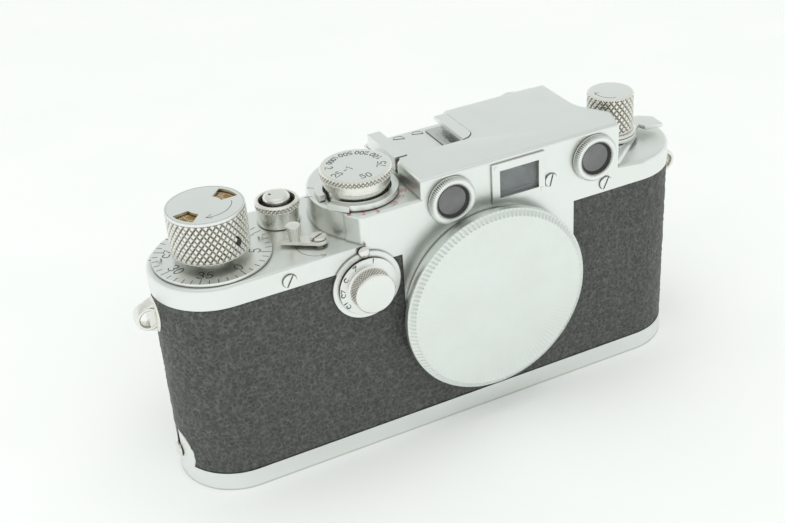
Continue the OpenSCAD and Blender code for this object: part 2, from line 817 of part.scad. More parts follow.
module curtain_roller(i) {
    union() {
        cyl_z(1, floor_z0, shell_z1, roller_xs[i], roller_y);
        cyl_z(roller_r, lens_z - 16.2, lens_z + 16.2, roller_xs[i], roller_y);
    }
}

module curtain_roller_inner() {
    color(steel) curtain_roller(0);
}

module curtain_roller_outer() {
    color(steel) curtain_roller(1);
}

module dial_sleeve() {
    color(nickel) difference() {
        union() {
            cyl_z(sleeve_r, step_z + 0.3, 67.3, drum_x, drum_y);
            cyl_z(7.3, step_z + 0.3, dial_z0 - 0.1, drum_x, drum_y);
        }
        cyl_z(drum_shaft_r + run_gap, step_z, 68, drum_x, drum_y);
    }
}

module speed_dial() {
    color(chrome) difference() {
        union() {
            cyl_z(7.8, dial_z0, 68.1, drum_x, drum_y);
            cyl_z(speed_dial_r, 68, dial_z1 - 0.3, drum_x, drum_y);
            translate([drum_x, drum_y, dial_z1 - 0.4])
                cylinder(r1 = speed_dial_r - 0.1, r2 = speed_dial_r - 0.4, h = 0.4);
        }
        cyl_z(sleeve_r + run_gap, dial_z0 - 1, 67.5, drum_x, drum_y);
    }
}

// Ring open between the angles 180 and sync_gap_a, with its lever at the front end
module sync_ring() {
    h = sync_z1 - sync_z0;
    color(chrome) translate([drum_x, drum_y, sync_z0]) rotate(sync_gap_a) union() {
        rotate_extrude(angle = 540 - sync_gap_a) translate([7.9, 0]) square([1.7, h]);
        linear_extrude(h) polygon([[8.4, -0.8], [10.4, -0.8], [9.3, 4.5], [8.3, 4.2]]);
    }
}

// Bent bar with a fluted pin near its end and a pointed finger beyond the pin
module rewind_lever() {
    bar_z = deck_z + 0.6;
    finger = lever_pin + [-3.4, 1.3];
    color(nickel) difference() {
        union() {
            cyl_z(2.1, bar_z, bar_z + 0.9, lever_x, lever_y);
            translate([0, 0, bar_z]) linear_extrude(0.8)
                polygon([[lever_x + 0.9, lever_y + 1.8], [lever_x - 0.9, lever_y - 1.8],
                    lever_pin + [-0.9, -1], finger + [0, -0.5], finger + [0.2, 0.3],
                    lever_pin + [0.4, 1.5]]);
            translate([lever_pin[0], lever_pin[1], bar_z])
                cylinder(r1 = 1.2, r2 = 1.65, h = 4.5);
        }
        cyl_z(1 + run_gap, deck_z - 1, 60, lever_x, lever_y);
    }
}

// ---- rewind side

module rewind_shaft() {
    color(steel) union() {
        cyl_z(rewind_shaft_r, 46, 66, rewind_x, 0);
        cyl_z(4.2, 49, 50.6, rewind_x, 0);
        for (s = [-1, 1]) box(rewind_x - 0.6, rewind_x + 0.6, s > 0 ? 1.2 : -2.9,
            s > 0 ? 2.9 : -1.2, 43.5, 49.5);
    }
}

module rewind_knob() {
    color(nickel) difference() {
        union() {
            cyl_z(rewind_knob_r, 59.2, rewind_z1 - 0.3, rewind_x, 0);
            translate([rewind_x, 0, rewind_z1 - 0.4])
                cylinder(r1 = rewind_knob_r - 0.1, r2 = rewind_knob_r - 0.4, h = 0.4);
            cyl_z(6.5, 58.5, 59.3, rewind_x, 0);
        }
        cyl_z(rewind_shaft_r + run_gap, 58, 66.4, rewind_x, 0);
    }
}

module diopter_lever() {
    color(chrome) difference() {
        union() {
            cyl_z(6.6, right_step_z + 0.1, 58.4, rewind_x, 0);
            translate([0, 0, right_step_z + 0.1]) linear_extrude(58.4 - right_step_z - 0.1)
                polygon([[rewind_x, 5], [64.5, 3], [67.2, 0.5], [66.8, -4.2], [62.2, -3.1],
                    [61.6, -1.2], [rewind_x + 4, -4.5]]);
        }
        cyl_z(rewind_shaft_r + 0.3, deck_z, 60, rewind_x, 0);
    }
}

// ---- slow-speed dial

module slow_dial() {
    color(chrome) union() {
        cyl_y(7.15, front_y - 1.4, front_y - 0.9, slow_x, slow_z);
        cyl_y(4.95, front_y - 5.3, front_y - 1.3, slow_x, slow_z);
        translate([slow_x, front_y - 5.2, slow_z]) rotate([90, 0, 0])
            cylinder(r1 = 4.85, r2 = 4.6, h = 0.3);
        cyl_y(1.5, front_y - 1.3, -10.6, slow_x, slow_z);
    }
}

module slow_lock_button() {
    color(nickel) cyl_y(1.3, front_y - 1.9, front_y - 0.65, slow_lock[0], slow_lock[1]);
}

// ---- rangefinder coupling

module rf_arm() {
    color(steel) union() {
        cyl_z(1.2, deck_under_z + 0.3, 57.4, arm_pivot[0], arm_pivot[1]);
        cyl_z(2.4, 56.6, 58.2, arm_pivot[0], arm_pivot[1]);
        box(arm_pivot[0], lens_x, arm_pivot[1] - 0.9, arm_pivot[1] + 0.9, 56.6, 58.2);
        box(lens_x - 0.9, lens_x + 0.9, -10.2, arm_pivot[1] + 0.9, 56.6, 58.2);
        box(lens_x - 0.9, lens_x + 0.9, -10.2, -8.4, 49.6, 57);
        cyl_z(2, 49.4, 51.4, lens_x, -9.3);
        translate([arm_pivot[0], arm_pivot[1], 58]) rotate(45)
            box(-3, 3, -0.4, 0.4, 0, 6.8);
    }
}

// ---- base plate

module base_plate() {
    color(chrome) difference() {
        union() {
            stadium_z(body_r, 0, base_rim_h);
            intersection() {
                tab_solid(0);
                stadium_z(body_r, 1, 20);
            }
        }
        stadium_z(cover_in_r, 1.2, 30);
        cyl_z(key_r + run_gap, -1, 2, key_x, 0);
        cyl_z(6, -1, 2, tripod_x, 0);
        box(-end_x - 20, -end_x - 10, -1.05, 1.05, stud_z, 30);
        cyl_x(1.05, -end_x - 20, -end_x - 10, 0, stud_z);
    }
}

module tripod_bush() {
    color(steel) ring_z(6, tripod_r, 0, 6.4, tripod_x, 0);
}

module base_key() {
    color(chrome) difference() {
        union() {
            cyl_z(key_r, 0, 1.5, key_x, 0);
            cyl_z(10.2, 1.25, 2, key_x, 0);
            cyl_z(6.5, 1.9, 4, key_x + 2.5, 0);
        }
        intersection() {
            cyl_z(key_r - 1, -1, 0.9, key_x, 0);
            box(key_x - 20, key_x + 20, -1.1, 20, -1, 0.9);
        }
    }
}

module key_handle() {
    color(nickel) union() {
        difference() {
            cyl_z(key_r - 1.2, 0.05, 0.85, key_x, 0);
            box(key_x - 20, key_x + 20, -20, 1.2, -1, 2);
            cyl_z(4.6, -1, 2, key_x, 0);
        }
        cyl_x(0.4, key_x - key_r + 2, key_x + key_r - 2, 0.2, 0.45);
        for (s = [-1, 1]) box(key_x + s * 6 - 1, key_x + s * 6 + 1, 0.2, 2.5, 0.05, 0.85);
    }
}

// ---- body cap

module body_cap() {
    color(chrome) difference() {
        union() {
            cyl_y(cap_r, cap_rim_y, flange_y - 0.1, lens_x, lens_z);
            translate([lens_x, cap_rim_y, lens_z]) rotate([90, 0, 0])
                cylinder(r1 = cap_r, r2 = cap_face_r, h = cap_rim_y - cap_y);
        }
        cyl_y(cap_face_r, cap_y + 1.2, flange_y + 1, lens_x, lens_z);
    }
}

module cap_thread_ring() {
    color(chrome) ring_y(lens_thread_r - 0.1, lens_thread_r - 1.5, cap_y + 1.2, flange_y + 3.6,
        lens_x, lens_z);
}

chassis();
gear_plate();
body_shell();
body_covering();
top_cover();
lens_flange();
small_screws();
rf_bezel_left();
rf_bezel_right();
rf_windows();
viewfinder_frame();
finder_lenses();
optics_bracket();
rf_prism();
eyepiece_plate();
accessory_shoe();
shoe_spring();
release_collar();
strap_lugs();
slow_dial_flange();
slow_escapement();
flash_socket();
pressure_plate();
pressure_springs();
hook_stud();
shutter_curtains();
curtain_laths();
lever_screw();
release_button();
release_spring();
wind_shaft();
wind_gear();
takeup_spool();
wind_knob();
knob_top_plate();
knob_set_screw();
reminder_disc();
counter_dial();
film_sprocket();
sprocket_gears();
shutter_drum();
drum_gear();
curtain_roller_inner();
curtain_roller_outer();
dial_sleeve();
speed_dial();
sync_ring();
rewind_lever();
rewind_shaft();
rewind_knob();
diopter_lever();
slow_dial();
slow_lock_button();
rf_arm();
base_plate();
tripod_bush();
base_key();
key_handle();
body_cap();
cap_thread_ring();
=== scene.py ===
import json
import math
import bmesh
import bpy
import numpy as np
from mathutils import Matrix, Vector

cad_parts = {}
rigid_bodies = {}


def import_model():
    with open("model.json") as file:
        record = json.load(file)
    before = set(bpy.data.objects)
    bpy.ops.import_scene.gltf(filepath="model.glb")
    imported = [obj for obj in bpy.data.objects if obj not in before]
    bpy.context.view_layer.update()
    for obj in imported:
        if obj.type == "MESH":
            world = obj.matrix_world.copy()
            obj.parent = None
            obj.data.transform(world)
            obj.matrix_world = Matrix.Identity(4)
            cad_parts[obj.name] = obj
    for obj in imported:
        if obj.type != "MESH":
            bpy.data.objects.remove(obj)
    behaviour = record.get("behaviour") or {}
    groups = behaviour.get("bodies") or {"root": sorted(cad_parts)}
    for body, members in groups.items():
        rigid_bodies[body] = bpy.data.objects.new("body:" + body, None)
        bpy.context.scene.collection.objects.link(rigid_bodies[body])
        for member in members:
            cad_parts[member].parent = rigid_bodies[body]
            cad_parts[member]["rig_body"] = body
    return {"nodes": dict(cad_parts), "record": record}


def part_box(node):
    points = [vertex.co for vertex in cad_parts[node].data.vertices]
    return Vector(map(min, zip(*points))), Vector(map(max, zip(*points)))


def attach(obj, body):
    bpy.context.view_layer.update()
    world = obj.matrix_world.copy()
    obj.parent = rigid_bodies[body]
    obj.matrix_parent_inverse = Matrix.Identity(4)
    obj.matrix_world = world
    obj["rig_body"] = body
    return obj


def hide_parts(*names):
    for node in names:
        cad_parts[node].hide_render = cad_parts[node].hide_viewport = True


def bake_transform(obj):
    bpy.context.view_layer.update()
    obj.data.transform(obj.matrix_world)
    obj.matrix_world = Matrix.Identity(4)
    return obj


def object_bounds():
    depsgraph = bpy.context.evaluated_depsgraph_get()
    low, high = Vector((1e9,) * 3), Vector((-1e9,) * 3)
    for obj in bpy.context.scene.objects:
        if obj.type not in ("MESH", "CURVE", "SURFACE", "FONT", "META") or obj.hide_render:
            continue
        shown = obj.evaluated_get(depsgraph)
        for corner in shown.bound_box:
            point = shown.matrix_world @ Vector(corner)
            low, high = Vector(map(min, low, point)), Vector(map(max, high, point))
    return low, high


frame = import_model()
cad_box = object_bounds()

# Lengths are millimetres in this script; MM turns them into Blender's metres.
MM = 0.001


def span(node):
    """Lowest and highest corner of a CAD node at rest, in millimetres."""
    lo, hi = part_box(node)
    return np.array(lo) / MM, np.array(hi) / MM


def centre(node):
    lo, hi = span(node)
    return (lo + hi) / 2


# ---------------------------------------------------------------- materials

def new_material(name):
    mat = bpy.data.materials.new(name)
    mat.use_nodes = True
    tree = mat.node_tree
    tree.nodes.clear()
    out = tree.nodes.new("ShaderNodeOutputMaterial")
    shader = tree.nodes.new("ShaderNodeBsdfPrincipled")
    tree.links.new(shader.outputs[0], out.inputs[0])
    return mat, tree, shader


def node(tree, kind, **inputs):
    """Adds a node; keywords are its inputs, with spaces written as underscores."""
    n = tree.nodes.new(kind)
    for key, value in inputs.items():
        n.inputs[key.replace("_", " ")].default_value = value
    return n


def noise(tree, scale, detail=4.0, rough=0.55, stretch=(1, 1, 1)):
    """Noise in object space; scale is in cycles per millimetre."""
    coords = tree.nodes.new("ShaderNodeTexCoord")
    mapping = tree.nodes.new("ShaderNodeMapping")
    mapping.inputs["Scale"].default_value = stretch
    tex = node(tree, "ShaderNodeTexNoise", Scale=scale / MM, Detail=detail, Roughness=rough)
    tree.links.new(coords.outputs["Object"], mapping.inputs["Vector"])
    tree.links.new(mapping.outputs["Vector"], tex.inputs["Vector"])
    return tex.outputs["Fac"]


def net(tree, cells, warp, half_width):
    """Thin lines of an irregular net in object space, 1 on a line; cells per millimetre."""
    coords = tree.nodes.new("ShaderNodeTexCoord")
    shift = node(tree, "ShaderNodeTexNoise", Scale=0.9 / MM, Detail=2)
    add = tree.nodes.new("ShaderNodeVectorMath")
    add.operation = "MULTIPLY_ADD"
    add.inputs[1].default_value = (warp * MM,) * 3
    tex = tree.nodes.new("ShaderNodeTexVoronoi")
    tex.feature = "DISTANCE_TO_EDGE"
    tex.inputs["Scale"].default_value = cells / MM
    tree.links.new(coords.outputs["Object"], shift.inputs["Vector"])
    tree.links.new(shift.outputs["Color"], add.inputs[0])
    tree.links.new(coords.outputs["Object"], add.inputs[2])
    tree.links.new(add.outputs[0], tex.inputs["Vector"])
    return remap(tree, tex.outputs["Distance"], 0.0, half_width, 1.0, 0.0)


def ramp(tree, source, stops):
    """Colour ramp over source; stops are (place, colour)."""
    r = tree.nodes.new("ShaderNodeValToRGB")
    while len(r.color_ramp.elements) < len(stops):
        r.color_ramp.elements.new(0.5)
    for element, (place, colour) in zip(r.color_ramp.elements, stops):
        element.position = place
        element.color = (*colour, 1) if len(colour) == 3 else colour
    tree.links.new(source, r.inputs[0])
    return r.outputs[0]


def remap(tree, source, low, high, lo_out, hi_out):
    m = tree.nodes.new("ShaderNodeMapRange")
    for key, value in zip(("From Min", "From Max", "To Min", "To Max"), (low, high, lo_out, hi_out)):
        m.inputs[key].default_value = value
    tree.links.new(source, m.inputs["Value"])
    return m.outputs[0]


def mix_colour(tree, factor, a, b, mode="MIX"):
    m = tree.nodes.new("ShaderNodeMix")
    m.data_type = "RGBA"
    m.blend_type = mode
    for socket, value in ((m.inputs["Factor"], factor), (m.inputs[6], a), (m.inputs[7], b)):
        if hasattr(value, "node"):
            tree.links.new(value, socket)
        elif isinstance(value, (tuple, list)):
            socket.default_value = (*value, 1)
        else:
            socket.default_value = value
    return m.outputs[2]


def bump(tree, shader, height, strength, depth):
    """Bump of the given depth in millimetres."""
    b = node(tree, "ShaderNodeBump", Strength=strength, Distance=depth * MM)
    tree.links.new(height, b.inputs["Height"])
    tree.links.new(b.outputs[0], shader.inputs["Normal"])


def crevice(tree, reach, dark, light):
    """0 in tight corners and 1 on open faces, from ambient occlusion over reach millimetres."""
    ao = node(tree, "ShaderNodeAmbientOcclusion", Distance=reach * MM)
    ao.samples = 16
    return remap(tree, ao.outputs["AO"], dark, light, 0.0, 1.0)


def metal(name, colour, corner_shade, rough, rough_spread, grain=0.7, reach=1.2, bump_depth=0.001,
          unshaded_at=0.85):
    """Plated metal: fine grain, patchy tarnish, and painted shade in the corners, darkened by ambient
    occlusion.
    """
    mat, tree, shader = new_material(name)
    shader.inputs["Metallic"].default_value = 1.0
    patches = noise(tree, 0.12, 3)
    fine = noise(tree, grain, 3, 0.5)
    tint = mix_colour(tree, remap(tree, patches, 0.35, 0.7, 0.0, 0.35), colour,
                      tuple(c * f for c, f in zip(colour, (0.93, 0.92, 0.88))))
    # painted shade: a darker colour is mixed in where ambient occlusion finds tight corners
    shaded_tint = mix_colour(tree, crevice(tree, reach, 0.3, unshaded_at), corner_shade, tint)
    tree.links.new(shaded_tint, shader.inputs["Base Color"])
    tree.links.new(remap(tree, fine, 0.3, 0.7, rough - rough_spread, rough + rough_spread),
                   shader.inputs["Roughness"])
    bump(tree, shader, fine, 0.35, bump_depth)
    return mat


def paint(name, colour, rough=0.5):
    """Fill of an engraved mark, a little uneven."""
    mat, tree, shader = new_material(name)
    wear_and_sheen = noise(tree, 3.0, 3)
    tree.links.new(mix_colour(tree, remap(tree, wear_and_sheen, 0.4, 0.75, 0.0, 0.5), colour,
                              tuple(min(1, c * 2.2 + 0.05) for c in colour)),
                   shader.inputs["Base Color"])
    shader.inputs["Roughness"].default_value = rough
    return mat


def rubber(name):
    """Wrinkled hard rubber: painted light grey on the crests and painted shade in the folds, under a
    net of painted highlight lines. The mesh carries the height of its grain as an attribute."""
    mat, tree, shader = new_material(name)
    grain = tree.nodes.new("ShaderNodeAttribute")
    grain.attribute_name = "grain"
    fine = noise(tree, 1.3, 4, 0.6)
    broad = noise(tree, 0.25, 3)
    wear_and_sheen = noise(tree, 0.7, 3)
    lines = node(tree, "ShaderNodeMath")
    lines.operation = "MULTIPLY"
    tree.links.new(net(tree, 0.85, 1.5, 0.2), lines.inputs[0])
    tree.links.new(remap(tree, wear_and_sheen, 0.38, 0.62, 0.15, 1.0), lines.inputs[1])
    lines = lines.outputs[0]
    # painted light and shade: crests of the grain are coloured lighter, folds darker
    crest = remap(tree, grain.outputs["Fac"], 0.2, 1.0, 0.0, 1.0)
    tone = mix_colour(tree, crest, (0.038, 0.040, 0.037), (0.062, 0.065, 0.060))
    tone = mix_colour(tree, remap(tree, broad, 0.3, 0.7, 0.0, 0.5), tone, (0.062, 0.065, 0.060))
    # painted highlight: a net of lighter lines stands in for glints on the pebble edges
    tone = mix_colour(tree, remap(tree, lines, 0.0, 1.0, 0.0, 0.85), tone, (0.130, 0.135, 0.127))
    tree.links.new(tone, shader.inputs["Base Color"])
    tree.links.new(remap(tree, fine, 0.3, 0.7, 0.36, 0.58), shader.inputs["Roughness"])
    tree.links.new(remap(tree, lines, 0.0, 1.0, 0.36, 0.62), shader.inputs["Specular IOR Level"])
    bump(tree, shader, lines, 0.7, 0.12)
    return mat


def dull(name, colour, rough=0.7, grain=2.5, metallic=0.0):
    """Matt surface with a fine speckle: castings, cloth, card."""
    mat, tree, shader = new_material(name)
    speck = noise(tree, grain, 4)
    tree.links.new(mix_colour(tree, remap(tree, speck, 0.35, 0.65, 0.0, 1.0), colour,
                              tuple(c * 0.6 for c in colour)), shader.inputs["Base Color"])
    shader.inputs["Metallic"].default_value = metallic
    shader.inputs["Roughness"].default_value = rough
    bump(tree, shader, speck, 0.4, 0.02)
    return mat


def glass(name, tint, rough=0.02):
    """Coated glass over a dark interior: dark body, clear reflections."""
    mat, tree, shader = new_material(name)
    smear = noise(tree, 0.4, 3)
    tree.links.new(mix_colour(tree, remap(tree, smear, 0.3, 0.7, 0.0, 1.0), tint,
                              tuple(c * 0.7 for c in tint)), shader.inputs["Base Color"])
    tree.links.new(remap(tree, smear, 0.3, 0.8, rough, rough + 0.06), shader.inputs["Roughness"])
    shader.inputs["Transmission Weight"].default_value = 0.85
    shader.inputs["IOR"].default_value = 1.5
    shader.inputs["Coat Weight"].default_value = 0.5
    return mat


def coated(name, tint):
    """Grey coated glass: its dark base colour is painted shade of the dim interior behind it."""
    mat, tree, shader = new_material(name)
    bloom = noise(tree, 0.15, 2)
    tree.links.new(mix_colour(tree, remap(tree, bloom, 0.3, 0.7, 0.0, 1.0), tint,
                              tuple(c * 0.55 for c in tint)), shader.inputs["Base Color"])
    tree.links.new(remap(tree, bloom, 0.2, 0.8, 0.03, 0.12), shader.inputs["Roughness"])
    shader.inputs["Coat Weight"].default_value = 1.0
    shader.inputs["Coat Roughness"].default_value = 0.04
    return mat


# the third colour given to each metal is its painted shade in corners
CHROME = metal("chrome", (0.84, 0.865, 0.845), (0.30, 0.29, 0.25), 0.33, 0.03, unshaded_at=0.8)
CAP_CHROME = metal("cap_chrome", (0.80, 0.84, 0.81), (0.12, 0.12, 0.10), 0.42, 0.03, reach=0.5,
                   unshaded_at=0.88)
NICKEL = metal("bright_nickel", (0.85, 0.845, 0.80), (0.10, 0.08, 0.045), 0.28, 0.02, reach=0.5,
               unshaded_at=0.62)
KNURL = metal("knurled_nickel", (0.87, 0.86, 0.81), (0.085, 0.068, 0.038), 0.28, 0.02, reach=0.45,
              unshaded_at=0.9)
STEEL = metal("steel", (0.60, 0.61, 0.62), (0.20, 0.19, 0.17), 0.30, 0.06)
BRASS = metal("brass", (0.75, 0.56, 0.26), (0.25, 0.17, 0.07), 0.28, 0.06)
COVERING = rubber("covering")
CAST = dull("black_cast", (0.030, 0.030, 0.033), 0.6)
CLOTH = dull("cloth", (0.018, 0.018, 0.020), 0.85, 4.0)
CARD = dull("card", (0.34, 0.21, 0.06), 0.55, 1.6)
BLACK = paint("black_fill", (0.012, 0.012, 0.012))
RED = paint("red_fill", (0.42, 0.05, 0.03))
PRINT = paint("pale_print", (0.55, 0.50, 0.40))
# grey for thin lines of painted shade along edges and gaps
EDGE_SHADE = paint("edge_shadow", (0.20, 0.20, 0.18))
OXIDE = dull("dark_oxide", (0.10, 0.10, 0.095), 0.4, 2.5, 0.6)
GLASS = glass("glass", (0.75, 0.80, 0.82))
LENS_GREY = coated("lens_grey", (0.16, 0.165, 0.165))

SLOT_MATERIAL = {"chrome": CHROME, "bright_nickel": NICKEL, "covering": COVERING,
                 "black_cast": CAST, "brass": BRASS, "steel": STEEL, "cloth": CLOTH,
                 "glass": GLASS, "card": CARD}


# ---------------------------------------------------------------- mesh building

def place_mesh(name, verts, faces, body, material, slot, sharp=35):
    """Makes a mesh piece from millimetre vertices and puts it on a CAD body."""
    mesh = bpy.data.meshes.new(name)
    mesh.from_pydata((np.asarray(verts, float) * MM).tolist(), [], faces)
    mesh.validate()
    shell = bmesh.new()
    shell.from_mesh(mesh)
    bmesh.ops.recalc_face_normals(shell, faces=shell.faces)
    shell.to_mesh(mesh)
    shell.free()
    return place(name, mesh, body, material, slot, sharp)


def place(name, mesh, body, material, slot, sharp=35):
    obj = bpy.data.objects.new(name, mesh)
    bpy.context.scene.collection.objects.link(obj)
    mesh.materials.clear()
    mesh.materials.append(material)
    mesh.polygons.foreach_set("use_smooth", [True] * len(mesh.polygons))
    mesh.set_sharp_from_angle(angle=math.radians(sharp))
    if body is not None:
        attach(obj, body)
    return obj


def axes(kind):
    """Right, up and outward directions of a turned part standing up (top) or facing front."""
    if kind == "top":
        return np.array([[1, 0, 0], [0, 1, 0], [0, 0, 1]], float)
    if kind == "front":
        return np.array([[1, 0, 0], [0, 0, 1], [0, -1, 0]], float)
    if kind == "back":
        return np.array([[-1, 0, 0], [0, 0, 1], [0, 1, 0]], float)
    return np.array([[0, -1, 0], [0, 0, 1], [-1, 0, 0]], float)


def soften(path, radius, steps=3):
    """Rounds the corners of an open (r, h) path with short curves."""
    path = [np.array(p, float) for p in path]
    out = [path[0]]
    for a, b, c in zip(path, path[1:], path[2:]):
        back, fore = a - b, c - b
        cut = min(radius, np.linalg.norm(back) * 0.45, np.linalg.norm(fore) * 0.45)
        p = b + back / np.linalg.norm(back) * cut
        q = b + fore / np.linalg.norm(fore) * cut
        for i in range(steps + 1):
            t = i / steps
            out.append((1 - t) ** 2 * p + 2 * t * (1 - t) * b + t * t * q)
    out.append(path[-1])
    return out


def refine(path, h0, h1, step):
    """Adds points to the stretches of a path between heights h0 and h1, step apart."""
    out = [path[0]]
    for a, b in zip(path, path[1:]):
        inside = min(a[1], b[1]) >= h0 - 1e-6 and max(a[1], b[1]) <= h1 + 1e-6
        count = max(1, int(np.linalg.norm(np.subtract(b, a)) / step)) if inside else 1
        for i in range(1, count + 1):
            out.append(np.array(a) + (np.array(b) - a) * i / count)
    return out


def groove(t, width):
    """Depth of a V groove at whole numbers of t: 1 on the line, 0 beyond width."""
    near = np.abs(t - np.round(t))
    return np.clip(1 - near / width, 0, 1)


def diamond(count, radius, lean, depth, h0, h1, width=0.36):
    """Crossed helical grooves between h0 and h1, fading out at both ends."""
    per_mm = count / (2 * math.pi * radius) * math.tan(math.radians(lean))

    def cut(theta, h):
        turn = theta / (2 * math.pi) * count
        g = np.maximum(groove(turn + h * per_mm, width), groove(turn - h * per_mm, width))
        fade = np.clip((h - h0) / 0.25, 0, 1) * np.clip((h1 - h) / 0.25, 0, 1)
        return depth * g * fade
    return cut


def straight(count, depth, h0, h1, width=0.45):
    """Flutes along the axis between h0 and h1."""
    def cut(theta, h):
        fade = np.clip((h - h0) / 0.15, 0, 1) * np.clip((h1 - h) / 0.15, 0, 1)
        return depth * groove(theta / (2 * math.pi) * count, width) * fade
    return cut


def turned(name, path, body, material, slot, kind, origin, cut=None, segments=128, closed=False,
           replaces=(), sharp=35, facing=False):
    """Surface of revolution of an (r, h) path. A closed path makes a ring, an open one a solid
    whose first and last points lie on the axis. cut(theta, h) lowers the surface; facing cuts
    along the axis instead of the radius."""
    right, up, out = axes(kind)
    origin = np.asarray(origin, float)
    path = np.array(path, float)
    theta = np.arange(segments) / segments * 2 * math.pi
    r = path[:, 0][:, None] + np.zeros(segments)
    h = path[:, 1][:, None] + np.zeros(segments)
    if cut is not None:
        lowered = cut(theta[None, :], r if facing else h)
        if facing:
            h = h - lowered
        else:
            r = r - np.where(r > 0.01, lowered, 0)
    points = (origin + (r * np.cos(theta))[..., None] * right
              + (r * np.sin(theta))[..., None] * up + h[..., None] * out)
    n = len(path)
    verts = points.reshape(-1, 3).tolist()
    faces = []
    rows = n if closed else n - 1
    for i in range(rows):
        k = (i + 1) % n
        start, end = path[i][0] < 1e-6, path[k][0] < 1e-6
        for j in range(segments):
            m = (j + 1) % segments
            a, b, c, d = i * segments + j, i * segments + m, k * segments + m, k * segments + j
            if start:
                faces.append((i * segments, c, d))
            elif end:
                faces.append((a, b, k * segments))
            else:
                faces.append((a, b, c, d))
    used = sorted({v for f in faces for v in f})
    index = {v: i for i, v in enumerate(used)}
    verts = [verts[v] for v in used]
    faces = [tuple(index[v] for v in f) for f in faces]
    obj = place_mesh(name, verts, faces, body, material, slot, sharp)
    if replaces:
        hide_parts(*replaces)
    return obj


# Single-stroke figures on a grid one unit high; an arc is sampled from its centre
def arc(cx, cy, rx, ry, a0, a1, n=10):
    return [(cx + rx * math.cos(math.radians(a0 + (a1 - a0) * i / n)),
             cy + ry * math.sin(math.radians(a0 + (a1 - a0) * i / n))) for i in range(n + 1)]


FIGURES = {
    "0": [arc(0.3, 0.5, 0.27, 0.5, 90, 450, 20)],
    "1": [[(0.12, 0.78), (0.34, 1.0), (0.34, 0.0)]],
    "2": [arc(0.3, 0.72, 0.26, 0.28, 170, -35) + [(0.03, 0.0), (0.58, 0.0)]],
    "3": [arc(0.28, 0.74, 0.25, 0.26, 160, -90) + arc(0.28, 0.25, 0.29, 0.25, 90, -160)],
    "4": [[(0.46, 0.0), (0.46, 1.0), (0.0, 0.28), (0.62, 0.28)]],
    "5": [[(0.54, 1.0), (0.12, 1.0), (0.07, 0.55)] + arc(0.27, 0.31, 0.30, 0.31, 120, -150)],
    "6": [arc(0.62, 0.42, 0.6, 0.58, 110, 175, 6) + arc(0.3, 0.3, 0.27, 0.3, 160, 520, 18)],
    "7": [[(0.02, 1.0), (0.58, 1.0), (0.22, 0.0)]],
    "8": [arc(0.3, 0.76, 0.22, 0.24, -90, 270, 16), arc(0.3, 0.26, 0.28, 0.26, 90, 450, 16)],
    "9": [arc(0.3, 0.7, 0.27, 0.3, -20, 340, 18) + arc(-0.02, 0.58, 0.6, 0.58, -5, -70, 6)],
    "-": [[(0.08, 0.45), (0.5, 0.45)]],
}
FIGURE_STEP = 0.78


def figure_strokes(text, size, place_at):
    """Strokes of a number centred on the origin; place_at maps (x, y) to a point and back."""
    width = FIGURE_STEP * (len(text) - 1) + 0.6
    strokes = []
    for i, char in enumerate(text):
        for line in FIGURES[char]:
            strokes.append([place_at((x + i * FIGURE_STEP - width / 2) * size, (y - 0.5) * size)
                            for x, y in line])
    return strokes


def inlay(name, strokes, pen, lift, body, material, slot, kind, origin):
    """Engraved and filled lines on a flat dial face: thin ribbons that stand lift proud.
    Strokes are lists of (x, y) in the face's own right and up directions."""
    right, up, out = axes(kind)
    origin = np.asarray(origin, float)
    verts, faces = [], []
    for stroke in strokes:
        pts = np.array(stroke, float)
        closed = np.linalg.norm(pts[0] - pts[-1]) < 1e-6
        tangent = np.gradient(pts, axis=0)
        if closed:
            tangent[0] = tangent[-1] = pts[1] - pts[-2]
        for i in range(1, len(pts) - 1):
            a, b = pts[i] - pts[i - 1], pts[i + 1] - pts[i]
            tangent[i] = a / (np.linalg.norm(a) + 1e-9) + b / (np.linalg.norm(b) + 1e-9)
        tangent /= np.linalg.norm(tangent, axis=1)[:, None] + 1e-9
        side = np.stack([-tangent[:, 1], tangent[:, 0]], 1) * pen / 2
        if not closed:
            pts[0] -= tangent[0] * pen / 2
            pts[-1] += tangent[-1] * pen / 2
        base = len(verts)
        for p, s in zip(pts, side):
            for sign, h in ((1, lift), (-1, lift), (-1, -0.05), (1, -0.05)):
                q = p + s * sign
                verts.append(origin + right * q[0] + up * q[1] + out * h)
        n = len(pts)
        for i in range(n - 1):
            a, b = base + 4 * i, base + 4 * (i + 1)
            for e in range(4):
                f = (e + 1) % 4
                faces.append((a + e, a + f, b + f, b + e))
        faces.append((base, base + 3, base + 2, base + 1))
        end = base + 4 * (n - 1)
        faces.append((end, end + 1, end + 2, end + 3))
    return place_mesh(name, verts, faces, body, material, slot, 20)


def around(angle, radius, inward=True):
    """Maps a figure's own (x, y) to a dial face, at an angle in degrees, its foot inward or not."""
    a = math.radians(angle)
    turn = a - math.pi / 2 if inward else a + math.pi / 2

    def put(x, y):
        return (radius * math.cos(a) + x * math.cos(turn) - y * math.sin(turn),
                radius * math.sin(a) + x * math.sin(turn) + y * math.cos(turn))
    return put


def tick(angle, r0, r1):
    a = math.radians(angle)
    return [(r0 * math.cos(a), r0 * math.sin(a)), (r1 * math.cos(a), r1 * math.sin(a))]


